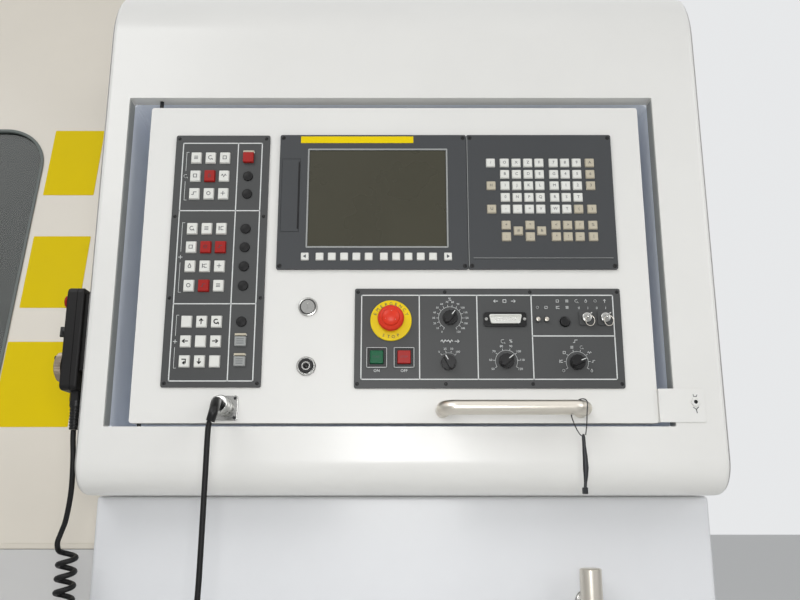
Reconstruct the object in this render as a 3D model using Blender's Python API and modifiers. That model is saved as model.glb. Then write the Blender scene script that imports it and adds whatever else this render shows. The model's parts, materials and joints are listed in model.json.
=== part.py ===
"""CNC turning lathe with a swing-out operator panel.

Metres, +Z up. X runs along the spindle with +X to the operator's right, the operator stands at -Y,
and the origin is on the floor under the middle of the machine.
"""
import math

import bmesh
import bpy
from mathutils import Matrix, Vector

# Fits
GAP = 0.0003            # clearance between pieces that touch
RUN = 0.0006            # running clearance round a shaft, key or button
SHEET = 0.003           # folded steel sheet
SLACK = 0.01            # how far a cutter runs past the face it opens

# Whole machine
LENGTH = 3.90
RIGHT = LENGTH / 2
LEFT = -RIGHT
REAR = 0.60             # back of the enclosure
ROOF = 2.20

# Control panel and the console that carries it
PANEL_WIDTH = 0.775
PANEL_HEIGHT = 0.501
PANEL_DEPTH = 0.026
PANEL_CORNER = 0.004
GAP_LEFT, GAP_RIGHT, GAP_BELOW, GAP_ABOVE = 0.0355, 0.0235, 0.005, 0.016
MARGIN_LEFT, MARGIN_RIGHT, MARGIN_BELOW, MARGIN_ABOVE = 0.040, 0.078, 0.097, 0.241
OPENING_WIDTH = GAP_LEFT + PANEL_WIDTH + GAP_RIGHT
OPENING_HEIGHT = GAP_BELOW + PANEL_HEIGHT + GAP_ABOVE
CONSOLE_WIDTH = MARGIN_LEFT + OPENING_WIDTH + MARGIN_RIGHT
CONSOLE_LEFT = RIGHT - CONSOLE_WIDTH
CONSOLE_FACE = -0.82
CONSOLE_BOTTOM = 1.093
CONSOLE_TOP = CONSOLE_BOTTOM + MARGIN_BELOW + OPENING_HEIGHT + MARGIN_ABOVE
CONSOLE_BACK = -0.42
TOP_ROLL = 0.13
BOTTOM_ROLL = 0.05
EDGE_ROLL = 0.012
LIP_DEPTH = 0.025
LIP_CORNER = 0.010
RECESS_DEPTH = 0.16
OPENING_LEFT = CONSOLE_LEFT + MARGIN_LEFT
OPENING_BOTTOM = CONSOLE_BOTTOM + MARGIN_BELOW
PANEL_SET_BACK = 0.003
PANEL_FACE = CONSOLE_FACE + PANEL_SET_BACK
PANEL_LEFT = OPENING_LEFT + GAP_LEFT
PANEL_BOTTOM = OPENING_BOTTOM + GAP_BELOW
PIVOT_INSET = 0.012
PIVOT_RADIUS = 0.003

# Units on the panel: left and bottom are measured from the panel's lower left corner
DISPLAY_LEFT, UNIT_BOTTOM = 0.208, 0.232
DISPLAY_WIDTH, KEYBOARD_WIDTH, UNIT_HEIGHT = 0.2925, 0.2275, 0.220
UNIT_THICK = 0.005
UNIT_BODY_DEPTH = 0.045
SCREEN_LEFT, SCREEN_BOTTOM, SCREEN_WIDTH, SCREEN_HEIGHT = 0.0465, 0.036, 0.214, 0.158
SCREEN_DEPTH = 0.0025
GLASS_THICK = 0.0015
SOFT_KEY, SOFT_KEY_PITCH, SOFT_KEY_ROW = 0.0125, 0.0187, 0.0197
KEY_SIZE, KEY_RISE = 0.0148, 0.0025
KEY_COLUMNS = {"A": 0.0373, "B": 0.0589, "C": 0.0773, "D": 0.0955, "E": 0.1131,
               "F": 0.1354, "G": 0.1533, "H": 0.1716, "I": 0.1921}
KEY_ROWS = [(0.1723, "ABCDEFGHI"), (0.1533, "BCDEFGHI"), (0.1344, "ABCDEFGHI"), (0.1152, "BCDEFGH"),
            (0.0961, "ABCDEFGHI"), (0.0700, "BDFGHI"), (0.0608, "CE"), (0.0514, "BDFGHI")]
SWITCH_LEFT, SWITCH_BOTTOM, SWITCH_WIDTH, SWITCH_HEIGHT = 0.0435, 0.052, 0.148, 0.400
PLATE_THICK = 0.003
SWITCH_KEY_WIDTH, SWITCH_KEY_HEIGHT = 0.0165, 0.0185
SWITCH_COLUMNS = (0.0336, 0.0560, 0.0784)
SWITCH_LAMP_COLUMN = 0.1155
SWITCH_ROWS = (0.0386, 0.0687, 0.0987, 0.1543, 0.1848, 0.2151, 0.2448, 0.3017, 0.3309, 0.3612)
PLUG_RADIUS = 0.0075
LAMP_SIZE = 0.0165
OPERATOR_LEFT, OPERATOR_BOTTOM, OPERATOR_WIDTH, OPERATOR_HEIGHT = 0.3285, 0.0505, 0.400, 0.1515
STOP_AT = (0.0545, 0.1015)
COLLAR_RADIUS, COLLAR_THICK = 0.031, 0.004
MUSHROOM_RADIUS, MUSHROOM_RISE, MUSHROOM_TRAVEL = 0.0195, 0.035, 0.006
BUTTON_AT = {"start_button": (0.0335, 0.0457), "stop_button": (0.0740, 0.0457)}
BUTTON_FRAME, BUTTON_CAP, BUTTON_RISE = 0.0285, 0.0195, 0.005
KNOB_AT = {"feed_knob": (0.1430, 0.1060, 40), "rapid_knob": (0.1400, 0.0380, -30),
           "spindle_knob": (0.2257, 0.0405, 50), "mode_knob": (0.3305, 0.0385, 70)}
KNOB_RADIUS, KNOB_RISE, KNOB_WING = 0.0115, 0.017, 0.0075
PORT_AT, PORT_WIDTH, PORT_HEIGHT = (0.2253, 0.1034), 0.064, 0.022
TINY_LAMPS = ((0.2746, 0.1036), (0.2875, 0.1036))
CHECK_AT, CHECK_RADIUS = (0.3151, 0.1002), 0.0075
KEY_SWITCH_AT = {"left_key_switch": (0.3464, 0.1051), "right_key_switch": (0.3741, 0.1051)}
KEY_SWITCH_RADIUS, KEY_SWITCH_BASE = 0.0075, 0.0205
LOCK_AT, LOCK_RADIUS = (0.2578, 0.1740), 0.0145
SOCKET_AT, SOCKET_RADIUS = (0.2573, 0.0840), 0.0145
HANDLE_LEFT, HANDLE_RIGHT, HANDLE_HEIGHT = 0.449, 0.675, 0.022
HANDLE_RADIUS, HANDLE_PROUD, HANDLE_BEND = 0.010, 0.058, 0.018
TAB_HEIGHT, TAB_WIDTH, TAB_RISE = 0.049, 0.067, 0.001
CAM_RADIUS, CAM_INSET = 0.010, 0.009
TOOL_DROP, TOOL_LENGTH, TOOL_RADIUS = 0.024, 0.082, 0.0035

# Connector and handheld wheel unit with their lead
CONNECTOR_AT = (0.1405, 0.022)
CONNECTOR_FLANGE, CONNECTOR_RADIUS, CONNECTOR_DEPTH = 0.037, 0.014, 0.020
PLUG_COLLAR, BOOT_RADIUS = 0.0135, 0.0105
CORD_RADIUS = 0.004
CORD_SPACING = 0.022
CORD_FRONT = -0.880
CORD_TOP = 1.1915
COIL_X, COIL_Y, COIL_TOP, COIL_BOTTOM, COIL_RADIUS = 0.980, -0.757, 1.010, 0.750, 0.0155
PENDANT_WIDTH, PENDANT_THICK, PENDANT_BOTTOM, PENDANT_TOP = 0.060, 0.026, 1.244, 1.411
PENDANT_FRONT = -0.825
PENDANT_BRACKET = 0.006
PENDANT_WHEEL_Z, PENDANT_WHEEL_RADIUS, PENDANT_WHEEL_THICK = 1.281, 0.023, 0.012
PENDANT_SELECTOR_Z, PENDANT_STOP_Z = 1.335, 1.382
PENDANT_BOOT_LENGTH, PENDANT_BOOT_RADIUS = 0.057, 0.007

# Front covers, lower cabinet and sliding door
APRON_FACE = -0.612
APRON_INNER = -0.50
APRON_BOTTOM = 0.285
BREAK = 1.008           # height where the vertical apron ends and the leaning door begins
DOOR_LEAN = math.radians(11)
DOOR_THICK = 0.040
DOOR_TO_CONSOLE = 0.013
DOOR_WIDTH = 1.565
DOOR_RIGHT = CONSOLE_LEFT - DOOR_TO_CONSOLE
DOOR_LEFT = DOOR_RIGHT - DOOR_WIDTH
COVER_BEHIND_DOOR = 0.052
WINDOW_FROM_RIGHT, WINDOW_WIDTH = 0.235, 0.900
WINDOW_LOW, WINDOW_ABOVE, WINDOW_CORNER = 0.165, 0.3823, 0.087
WINDOW_HIGH = (ROOF - BREAK) / math.cos(DOOR_LEAN) - WINDOW_ABOVE
PANE_THICK, PANE_EDGE = 0.006, 0.012
DOOR_HANDLE_FROM_LEFT, DOOR_HANDLE_LOW, DOOR_HANDLE_HIGH = 0.16, 0.30, 0.62
TOWER_FACE = -0.707
TOWER_BOTTOM = 0.10
TOWER_HANDLE_X, TOWER_HANDLE_LOW, TOWER_HANDLE_HIGH = 1.750, 0.600, 0.989
TOWER_HANDLE_RADIUS, TOWER_HANDLE_PROUD, POST_RADIUS = 0.016, 0.050, 0.008
CHAMBER_LEFT = DOOR_LEFT + 0.003
CHAMBER_WALL = 0.020
CHAMBER_RIGHT = DOOR_RIGHT + 0.002
DOOR_FRAME = 0.015

# Casting, slides and spindle. U runs up the 45 degree bed and N stands out of it.
BASE_TOP, BASE_BOTTOM = 0.600, 0.030
BASE_FRONT = -0.42
BASE_END = 0.02
SPINDLE_Y, SPINDLE_Z = -0.08, 1.10
BED_DROP = 0.27         # spindle axis to the bed's slanting face
BED_HALF = 0.35
BED_LEFT, BED_RIGHT = -1.30, 0.95
WAY_RISE, WAY_WIDTH, WAY_OFFSET = 0.030, 0.060, 0.22
FOOT_RADIUS = 0.07
HEADSTOCK_LEFT, HEADSTOCK_RIGHT = -1.25, -0.590
HEADSTOCK_RADIUS, HEADSTOCK_FOOT = 0.17, 0.28
SPINDLE_RADIUS, SPINDLE_BORE, NOSE_RADIUS, PULLEY_RADIUS = 0.060, 0.026, 0.100, 0.130
CHUCK_LEFT, CHUCK_THICK, CHUCK_RADIUS, CHUCK_BORE = -0.530, 0.110, 0.1575, 0.045
JAW_WIDTH, JAW_SLOT = 0.032, 0.012
JAW_INNER, JAW_OUTER, JAW_RISE = 0.062, 0.138, 0.075
SADDLE_LEFT, SADDLE_WIDTH, SADDLE_THICK, SADDLE_HALF = 0.0, 0.30, 0.065, 0.30
CROSS_LOW, CROSS_HIGH, CROSS_THICK = 0.10, 0.60, 0.045
TURRET_AT, TURRET_HALF, TURRET_TOP = 0.40, 0.14, 0.12
DISC_RADIUS, DISC_THICK, TOOL_REACH, STATIONS = 0.150, 0.070, 0.215, 12
TAILSTOCK_LEFT, TAILSTOCK_WIDTH, TAILSTOCK_RADIUS = 0.62, 0.28, 0.095
QUILL_RADIUS, QUILL_TIP = 0.045, 0.53
TANK_LEFT, TANK_RIGHT, TANK_FRONT, TANK_BACK = -1.10, 0.75, -0.600, 0.33
TANK_HEIGHT = 0.21
TUNNEL_FLOOR = 0.020
CABINET_LEFT, CABINET_WIDTH, CABINET_BOTTOM, CABINET_HEIGHT = -1.45, 1.20, 0.30, 1.50
CABINET_BACK = 0.850
CABINET_DOOR = 0.0247

WHITE = (0.86, 0.85, 0.83)
COOL_WHITE = (0.78, 0.79, 0.81)
WARM_WHITE = (0.80, 0.77, 0.70)
DARK_GREY = (0.09, 0.10, 0.105)
STEEL = (0.55, 0.56, 0.58)
SATIN = (0.63, 0.58, 0.48)
BLACK = (0.02, 0.02, 0.022)

# Flat drawing planes as matrices: columns are the drawing's x, its y and its normal
SIDE = Matrix(((0, 0, 1, 0), (1, 0, 0, 0), (0, 1, 0, 0), (0, 0, 0, 1)))
FRONT = Matrix(((1, 0, 0, 0), (0, 0, -1, 0), (0, 1, 0, 0), (0, 0, 0, 1)))
TOP = Matrix.Identity(4)
BED_AXIS = Matrix.Translation((0, SPINDLE_Y, SPINDLE_Z)) @ Matrix.Rotation(math.radians(45), 4, "X")
BED_SIDE = BED_AXIS @ SIDE
DOOR_PLANE = (Matrix.Translation((0, APRON_FACE, BREAK))
              @ Matrix.Rotation(math.radians(90) - DOOR_LEAN, 4, "X"))

BODY_COLLECTION = "cnc_turning_lathe"
CUTTER_COLLECTION = "cutters"


# Scene, materials and shared tools
def start_scene():
    for obj in list(bpy.data.objects):
        bpy.data.objects.remove(obj, do_unlink=True)
    for name in (BODY_COLLECTION, CUTTER_COLLECTION):
        collection = bpy.data.collections.get(name) or bpy.data.collections.new(name)
        if name not in bpy.context.scene.collection.children:
            bpy.context.scene.collection.children.link(collection)


def place(obj, collection=BODY_COLLECTION):
    """Link a new object and return it."""
    bpy.data.collections[collection].objects.link(obj)
    return obj


def paint(obj, colour, roughness=0.45, metallic=0.0):
    """Give the piece its own Principled material."""
    material = bpy.data.materials.new(obj.name)
    material.use_nodes = True
    shader = material.node_tree.nodes["Principled BSDF"]
    shader.inputs["Base Color"].default_value = (*colour, 1.0)
    shader.inputs["Roughness"].default_value = roughness
    shader.inputs["Metallic"].default_value = metallic
    obj.data.materials.clear()
    obj.data.materials.append(material)
    return obj


def from_bmesh(name, shape, location=(0, 0, 0)):
    mesh = bpy.data.meshes.new(name)
    shape.to_mesh(mesh)
    shape.free()
    obj = place(bpy.data.objects.new(name, mesh))
    obj.location = location
    return obj


def block(name, low, high, frame=TOP):
    """Box between two corners of the given frame."""
    low, high = Vector(low), Vector(high)
    shape = bmesh.new()
    bmesh.ops.create_cube(shape, size=1.0)
    bmesh.ops.scale(shape, vec=high - low, verts=shape.verts)
    obj = from_bmesh(name, shape)
    obj.matrix_world = frame @ Matrix.Translation((low + high) / 2)
    return obj


def cylinder(name, base, direction, length, radius, sides=24, end_radius=None):
    """Cylinder or cone from its base centre along a direction."""
    shape = bmesh.new()
    tip = radius if end_radius is None else end_radius
    bmesh.ops.create_cone(shape, cap_ends=True, segments=sides, radius1=radius, radius2=tip, depth=length)
    bmesh.ops.translate(shape, vec=(0, 0, length / 2), verts=shape.verts)
    obj = from_bmesh(name, shape, base)
    obj.rotation_euler = Vector(direction).to_track_quat("Z", "Y").to_euler()
    smooth(obj)
    return obj


def smooth(obj, angle=40):
    """Shade a curved mesh smooth, with its sharp edges kept."""
    obj.data.shade_smooth()
    obj.data.set_sharp_from_angle(angle=math.radians(angle))


def rounded(points, radius, steps=3):
    """Outline with every corner rounded; radius is one value or one for each corner."""
    count = len(points)
    radii = radius if isinstance(radius, (list, tuple)) else [radius] * count
    outline = []
    for index in range(count):
        corner = Vector(points[index])
        size = radii[index]
        if size <= 0:
            outline.append(tuple(corner))
            continue
        before = (Vector(points[index - 1]) - corner).normalized()
        after = (Vector(points[(index + 1) % count]) - corner).normalized()
        half = before.angle(after) / 2
        centre = corner + (before + after).normalized() * (size / math.sin(half))
        start = corner + before * (size / math.tan(half)) - centre
        end = corner + after * (size / math.tan(half)) - centre
        for step in range(steps + 1):
            spoke = start.normalized().slerp(end.normalized(), step / steps)
            outline.append(tuple(centre + spoke * size))
    return outline


def rectangle(left, bottom, width, height, radius=0.0, steps=3):
    points = [(left, bottom), (left + width, bottom), (left + width, bottom + height),
              (left, bottom + height)]
    return rounded(points, radius, steps)


def regular(sides, radius, centre=(0, 0), turn=0.0):
    """Regular polygon outline."""
    return [(centre[0] + radius * math.cos(turn + 2 * math.pi * k / sides),
             centre[1] + radius * math.sin(turn + 2 * math.pi * k / sides)) for k in range(sides)]


def inset(points, distance):
    """Move every side of a convex or stepped counter-clockwise outline inwards."""
    count = len(points)
    result = []
    for index in range(count):
        corner = Vector(points[index])
        along_in = (corner - Vector(points[index - 1])).normalized()
        along_out = (Vector(points[(index + 1) % count]) - corner).normalized()
        normal_in = Vector((-along_in.y, along_in.x))
        normal_out = Vector((-along_out.y, along_out.x))
        mitre = (normal_in + normal_out).normalized()
        result.append(tuple(corner + mitre * (distance / mitre.dot(normal_in))))
    return result


def ribbon(points, thickness):
    """Outline of a folded sheet: an open line thickened to its left."""
    left_side = []
    last = len(points) - 1
    for index, point in enumerate(points):
        corner = Vector(point)
        normals = []
        if index > 0:
            along = (corner - Vector(points[index - 1])).normalized()
            normals.append(Vector((-along.y, along.x)))
        if index < last:
            along = (Vector(points[index + 1]) - corner).normalized()
            normals.append(Vector((-along.y, along.x)))
        mitre = sum(normals, Vector((0, 0))).normalized()
        left_side.append(tuple(corner + mitre * (thickness / mitre.dot(normals[0]))))
    return list(points) + left_side[::-1]


def curve_to_mesh(obj, name):
    """Replace a curve object with its welded mesh."""
    bpy.context.view_layer.update()
    depsgraph = bpy.context.evaluated_depsgraph_get()
    mesh = bpy.data.meshes.new_from_object(obj.evaluated_get(depsgraph))
    matrix = obj.matrix_world.copy()
    bpy.data.objects.remove(obj, do_unlink=True)
    shape = bmesh.new()
    shape.from_mesh(mesh)
    bmesh.ops.remove_doubles(shape, verts=shape.verts, dist=0.000005)
    shape.to_mesh(mesh)
    shape.free()
    result = place(bpy.data.objects.new(name, mesh))
    result.matrix_world = matrix
    smooth(result)
    return result


def slab(name, outline, frame, low, high):
    """Flat outline of a drawing plane, thickened from low to high along the plane's normal."""
    curve = bpy.data.curves.new(name, "CURVE")
    curve.dimensions = "2D"
    curve.fill_mode = "BOTH"
    curve.extrude = (high - low) / 2
    spline = curve.splines.new("POLY")
    spline.points.add(len(outline) - 1)
    for point, (x, y) in zip(spline.points, outline):
        point.co = (x, y, 0, 1)
    spline.use_cyclic_u = True
    obj = place(bpy.data.objects.new(name + "_outline", curve))
    obj.matrix_world = frame @ Matrix.Translation((0, 0, (low + high) / 2))
    return curve_to_mesh(obj, name)


def tube(name, points, radius, resolution=3, cyclic=False):
    """Round bar or wire along a line of points."""
    curve = bpy.data.curves.new(name, "CURVE")
    curve.dimensions = "3D"
    curve.bevel_depth = radius
    curve.bevel_resolution = resolution
    curve.use_fill_caps = not cyclic
    spline = curve.splines.new("POLY")
    spline.points.add(len(points) - 1)
    for target, point in zip(spline.points, points):
        target.co = (*point, 1)
    spline.use_cyclic_u = cyclic
    obj = place(bpy.data.objects.new(name + "_line", curve))
    return curve_to_mesh(obj, name)


def bent(points, radius, steps=5):
    """Line in space with its inner corners bent to a radius."""
    line = [Vector(points[0])]
    for before, corner, after in zip(points, points[1:], points[2:]):
        corner = Vector(corner)
        back = (Vector(before) - corner).normalized()
        ahead = (Vector(after) - corner).normalized()
        half = back.angle(ahead) / 2
        centre = corner + (back + ahead).normalized() * (radius / math.sin(half))
        start = corner + back * (radius / math.tan(half)) - centre
        end = corner + ahead * (radius / math.tan(half)) - centre
        for step in range(steps + 1):
            spoke = start.normalized().slerp(end.normalized(), step / steps)
            line.append(centre + spoke * radius)
    line.append(Vector(points[-1]))
    return line


def turned(name, profile, base, direction, steps=24, ring=False):
    """Turned piece: (radius, height) pairs from the top down, swept round a direction from its base."""
    mesh = bpy.data.meshes.new(name)
    count = len(profile)
    edges = [(k, k + 1) for k in range(count - 1)]
    if ring:
        edges.append((count - 1, 0))
    mesh.from_pydata([(radius, 0, height) for radius, height in profile], edges, [])
    obj = place(bpy.data.objects.new(name, mesh))
    obj.location = base
    obj.rotation_euler = Vector(direction).to_track_quat("Z", "Y").to_euler()
    screw = obj.modifiers.new("turn", "SCREW")
    screw.steps = steps
    screw.render_steps = steps
    screw.use_merge_vertices = True
    screw.merge_threshold = 0.00005
    screw.use_smooth_shade = True
    return obj


def combine(target, tool, operation):
    """Boolean with a tool object, which moves to the cutters' collection."""
    modifier = target.modifiers.new(operation.lower(), "BOOLEAN")
    modifier.operation = operation
    modifier.solver = "EXACT"
    modifier.object = tool
    if tool.name not in bpy.data.collections[CUTTER_COLLECTION].objects:
        bpy.data.collections[CUTTER_COLLECTION].objects.link(tool)
        bpy.data.collections[BODY_COLLECTION].objects.unlink(tool)
    tool.hide_render = True
    tool.display_type = "WIRE"


def cut(target, *tools):
    for tool in tools:
        combine(target, tool, "DIFFERENCE")
    return target


def fuse(target, *tools):
    for tool in tools:
        combine(target, tool, "UNION")
    return target


def gather(name, pieces):
    """Join loose, separate shapes into one tool object, for a single Boolean."""
    shape = bmesh.new()
    for piece in pieces:
        mesh = piece.data.copy()
        mesh.transform(piece.matrix_basis)
        shape.from_mesh(mesh)
        bpy.data.meshes.remove(mesh)
        bpy.data.objects.remove(piece, do_unlink=True)
    return from_bmesh(name, shape)


def round_edges(obj, width, segments=2, angle=40):
    """Bevel edges sharper than the angle."""
    bevel = obj.modifiers.new("edges", "BEVEL")
    bevel.width = width
    bevel.segments = segments
    bevel.limit_method = "ANGLE"
    bevel.angle_limit = math.radians(angle)
    return obj


def panel_point(left, up, toward=0.0):
    """World point from the panel's lower left corner, with a distance toward the operator."""
    return Vector((PANEL_LEFT + left, PANEL_FACE - toward, PANEL_BOTTOM + up))


def front_slab(name, outline, front, back):
    """Slab drawn as the operator sees it, between two Y levels."""
    return slab(name, outline, FRONT, -back, -front)


# Console, recess and swinging panel
PIVOT = (PANEL_LEFT + PIVOT_INSET, PANEL_FACE + PIVOT_INSET)
PLATE_FACE = PANEL_FACE - GAP - PLATE_THICK
UNIT_FACE = PANEL_FACE - GAP - UNIT_THICK
SINK = 0.001            # overlap that lets a union weld two shapes
WINDOW_MARGIN = 0.012   # panel flange left behind each plate


def console_outline(wall=0.0):
    face, back = CONSOLE_FACE + wall, CONSOLE_BACK - wall
    low, high = CONSOLE_BOTTOM + wall, CONSOLE_TOP - wall
    corners = [(face, low), (back, low), (back, high), (face, high)]
    return rounded(corners, [BOTTOM_ROLL - wall, 0, 0, TOP_ROLL - wall], 6)


def opening(grow=0.0):
    return rectangle(OPENING_LEFT - grow, OPENING_BOTTOM - grow, OPENING_WIDTH + 2 * grow,
                     OPENING_HEIGHT + 2 * grow, LIP_CORNER + grow)


def console_housing():
    housing = slab("console_housing", console_outline(), SIDE, CONSOLE_LEFT, RIGHT)
    round_edges(housing, EDGE_ROLL, 2)
    lip_back = CONSOLE_FACE + LIP_DEPTH
    cut(housing, slab("console_hollow", console_outline(SHEET), SIDE, CONSOLE_LEFT + SHEET, RIGHT - SHEET))
    fuse(housing, front_slab("console_lip", opening(SHEET), CONSOLE_FACE + SHEET / 2, lip_back))
    cut(housing, front_slab("console_opening", opening(), CONSOLE_FACE - SLACK, lip_back + SLACK))
    reach = SHEET + 0.008
    panel_top = PANEL_BOTTOM + PANEL_HEIGHT
    low_start = OPENING_BOTTOM - SHEET / 2
    high_start = OPENING_BOTTOM + OPENING_HEIGHT + SHEET / 2
    low_pin = cylinder("low_pivot_pin", (*PIVOT, low_start), (0, 0, 1),
                       PANEL_BOTTOM + reach - low_start, PIVOT_RADIUS, 16)
    high_pin = cylinder("high_pivot_pin", (*PIVOT, high_start), (0, 0, -1),
                        high_start - panel_top + reach, PIVOT_RADIUS, 16)
    fuse(housing, low_pin, high_pin)
    paint(housing, WHITE, 0.35)


def recess_liner():
    front, back = CONSOLE_FACE + LIP_DEPTH + GAP, CONSOLE_FACE + RECESS_DEPTH
    liner = front_slab("recess_liner", opening(SHEET), front, back)
    cut(liner, front_slab("recess_hollow", opening(), front - SLACK, back - SHEET))
    paint(liner, (0.25, 0.28, 0.34), 0.5)


def control_panel():
    """Folded pan with a window behind each unit, turning on the console's two pins."""
    back = PANEL_FACE + PANEL_DEPTH
    panel = front_slab("control_panel", rectangle(PANEL_LEFT, PANEL_BOTTOM, PANEL_WIDTH, PANEL_HEIGHT,
                                                  PANEL_CORNER), PANEL_FACE, back)
    inside = rectangle(PANEL_LEFT + SHEET, PANEL_BOTTOM + SHEET, PANEL_WIDTH - 2 * SHEET,
                       PANEL_HEIGHT - 2 * SHEET)
    cut(panel, front_slab("panel_hollow", inside, PANEL_FACE + SHEET, back + SLACK))
    windows = [unit_window(DISPLAY_LEFT, UNIT_BOTTOM, DISPLAY_WIDTH, UNIT_HEIGHT),
               unit_window(DISPLAY_LEFT + DISPLAY_WIDTH + GAP, UNIT_BOTTOM, KEYBOARD_WIDTH, UNIT_HEIGHT),
               unit_window(SWITCH_LEFT, SWITCH_BOTTOM, SWITCH_WIDTH, SWITCH_HEIGHT),
               unit_window(OPERATOR_LEFT, OPERATOR_BOTTOM, OPERATOR_WIDTH, OPERATOR_HEIGHT)]
    lock_hole = cylinder("lock_hole", panel_point(*LOCK_AT, SLACK), (0, 1, 0), 2 * SLACK + SHEET, 0.008 + RUN)
    pivot_hole = cylinder("pivot_hole", (*PIVOT, PANEL_BOTTOM - SLACK), (0, 0, 1),
                          PANEL_HEIGHT + 2 * SLACK, PIVOT_RADIUS + RUN, 16)
    cut(panel, gather("panel_windows", windows), lock_hole, pivot_hole)
    paint(panel, WHITE, 0.4)


def unit_window(left, bottom, width, height):
    outline = rectangle(PANEL_LEFT + left + WINDOW_MARGIN - RUN, PANEL_BOTTOM + bottom + WINDOW_MARGIN - RUN,
                        width - 2 * (WINDOW_MARGIN - RUN), height - 2 * (WINDOW_MARGIN - RUN))
    return front_slab("unit_window", outline, PANEL_FACE - SLACK, PANEL_FACE + SLACK)


def unit_body(name, left, bottom, width, height):
    """Electronics box behind a unit's face, passing through its window in the panel."""
    outline = rectangle(PANEL_LEFT + left + WINDOW_MARGIN, PANEL_BOTTOM + bottom + WINDOW_MARGIN,
                        width - 2 * WINDOW_MARGIN, height - 2 * WINDOW_MARGIN)
    return front_slab(name, outline, PANEL_FACE - GAP - SINK, PANEL_FACE + UNIT_BODY_DEPTH)


def faceplate(name, left, bottom, width, height, thickness):
    outline = rectangle(PANEL_LEFT + left, PANEL_BOTTOM + bottom, width, height, 0.003, 2)
    return front_slab(name, outline, PANEL_FACE - GAP - thickness, PANEL_FACE - GAP)


def stud(name, centre, width, height, face, rise, sink=SINK):
    """Square key standing out of a plate whose front is at the given Y."""
    return block(name, (centre.x - width / 2, face - rise, centre.z - height / 2),
                 (centre.x + width / 2, face + sink, centre.z + height / 2))


def display_unit():
    unit = faceplate("display_unit", DISPLAY_LEFT, UNIT_BOTTOM, DISPLAY_WIDTH, UNIT_HEIGHT, UNIT_THICK)
    fuse(unit, unit_body("display_body", DISPLAY_LEFT, UNIT_BOTTOM, DISPLAY_WIDTH, UNIT_HEIGHT))
    screen = screen_outline(0.0)
    cut(unit, front_slab("screen_recess", screen, UNIT_FACE - SLACK, UNIT_FACE + SCREEN_DEPTH))
    slot_low = panel_point(DISPLAY_LEFT + 0.004, UNIT_BOTTOM + 0.059)
    slot = block("card_slot", (slot_low.x, UNIT_FACE - SLACK, slot_low.z),
                 (slot_low.x + 0.029, UNIT_FACE + 0.0008, slot_low.z + 0.1205))
    cut(unit, slot)
    columns = [0.0435, 0.2617]
    columns += [0.0660 + step * SOFT_KEY_PITCH for step in range(5)]
    columns += [0.1640 + step * SOFT_KEY_PITCH for step in range(5)]
    keys = [stud("soft_key", panel_point(DISPLAY_LEFT + column, UNIT_BOTTOM + SOFT_KEY_ROW),
                 SOFT_KEY, SOFT_KEY, UNIT_FACE, 0.0015) for column in columns]
    fuse(unit, gather("soft_keys", keys))
    paint(unit, DARK_GREY, 0.5)


def screen_outline(shrink):
    return rectangle(PANEL_LEFT + DISPLAY_LEFT + SCREEN_LEFT + shrink,
                     PANEL_BOTTOM + UNIT_BOTTOM + SCREEN_BOTTOM + shrink,
                     SCREEN_WIDTH - 2 * shrink, SCREEN_HEIGHT - 2 * shrink)


def display_glass():
    back = UNIT_FACE + SCREEN_DEPTH - GAP
    glass = front_slab("display_glass", screen_outline(RUN), back - GLASS_THICK, back)
    paint(glass, (0.06, 0.06, 0.045), 0.25)


def keyboard_unit():
    left = DISPLAY_LEFT + DISPLAY_WIDTH + GAP
    unit = faceplate("keyboard_unit", left, UNIT_BOTTOM, KEYBOARD_WIDTH, UNIT_HEIGHT, UNIT_THICK)
    fuse(unit, unit_body("keyboard_body", left, UNIT_BOTTOM, KEYBOARD_WIDTH, UNIT_HEIGHT))
    groove_at = panel_point(left + 0.008, UNIT_BOTTOM + 0.0150)
    groove = block("keyboard_groove", (groove_at.x, UNIT_FACE - SLACK, groove_at.z),
                   (groove_at.x + 0.213, UNIT_FACE + 0.001, groove_at.z + 0.002))
    cut(unit, groove)
    keys = []
    for row, columns in KEY_ROWS:
        for letter in columns:
            centre = panel_point(left + KEY_COLUMNS[letter], UNIT_BOTTOM + row)
            keys.append(stud("key", centre, KEY_SIZE, KEY_SIZE, UNIT_FACE, KEY_RISE))
    fuse(unit, gather("keys", keys))
    paint(unit, DARK_GREY, 0.5)


def switch_plate():
    plate = faceplate("switch_plate", SWITCH_LEFT, SWITCH_BOTTOM, SWITCH_WIDTH, SWITCH_HEIGHT, PLATE_THICK)
    fuse(plate, unit_body("switch_body", SWITCH_LEFT, SWITCH_BOTTOM, SWITCH_WIDTH, SWITCH_HEIGHT))
    keys = []
    for number, row in enumerate(SWITCH_ROWS):
        for column in SWITCH_COLUMNS:
            centre = panel_point(SWITCH_LEFT + column, SWITCH_BOTTOM + row)
            keys.append(stud("switch_key", centre, SWITCH_KEY_WIDTH, SWITCH_KEY_HEIGHT, PLATE_FACE, 0.003))
        side = panel_point(SWITCH_LEFT + SWITCH_LAMP_COLUMN, SWITCH_BOTTOM + row)
        if number < 2:
            keys.append(stud("grey_lamp", side, LAMP_SIZE, LAMP_SIZE, PLATE_FACE, 0.003))
        elif number < len(SWITCH_ROWS) - 1:
            base = Vector((side.x, PLATE_FACE + SINK, side.z))
            keys.append(cylinder("hole_plug", base, (0, -1, 0), SINK + 0.002, PLUG_RADIUS, 12))
    fuse(plate, gather("switch_keys", keys))
    paint(plate, DARK_GREY, 0.5)


def alarm_lamp():
    centre = panel_point(SWITCH_LEFT + SWITCH_LAMP_COLUMN, SWITCH_BOTTOM + SWITCH_ROWS[-1])
    lamp = stud("alarm_lamp", centre, LAMP_SIZE, LAMP_SIZE, PLATE_FACE - GAP, 0.006, 0.0)
    round_edges(lamp, 0.001, 1)
    paint(lamp, (0.6, 0.02, 0.01), 0.35)


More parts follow.
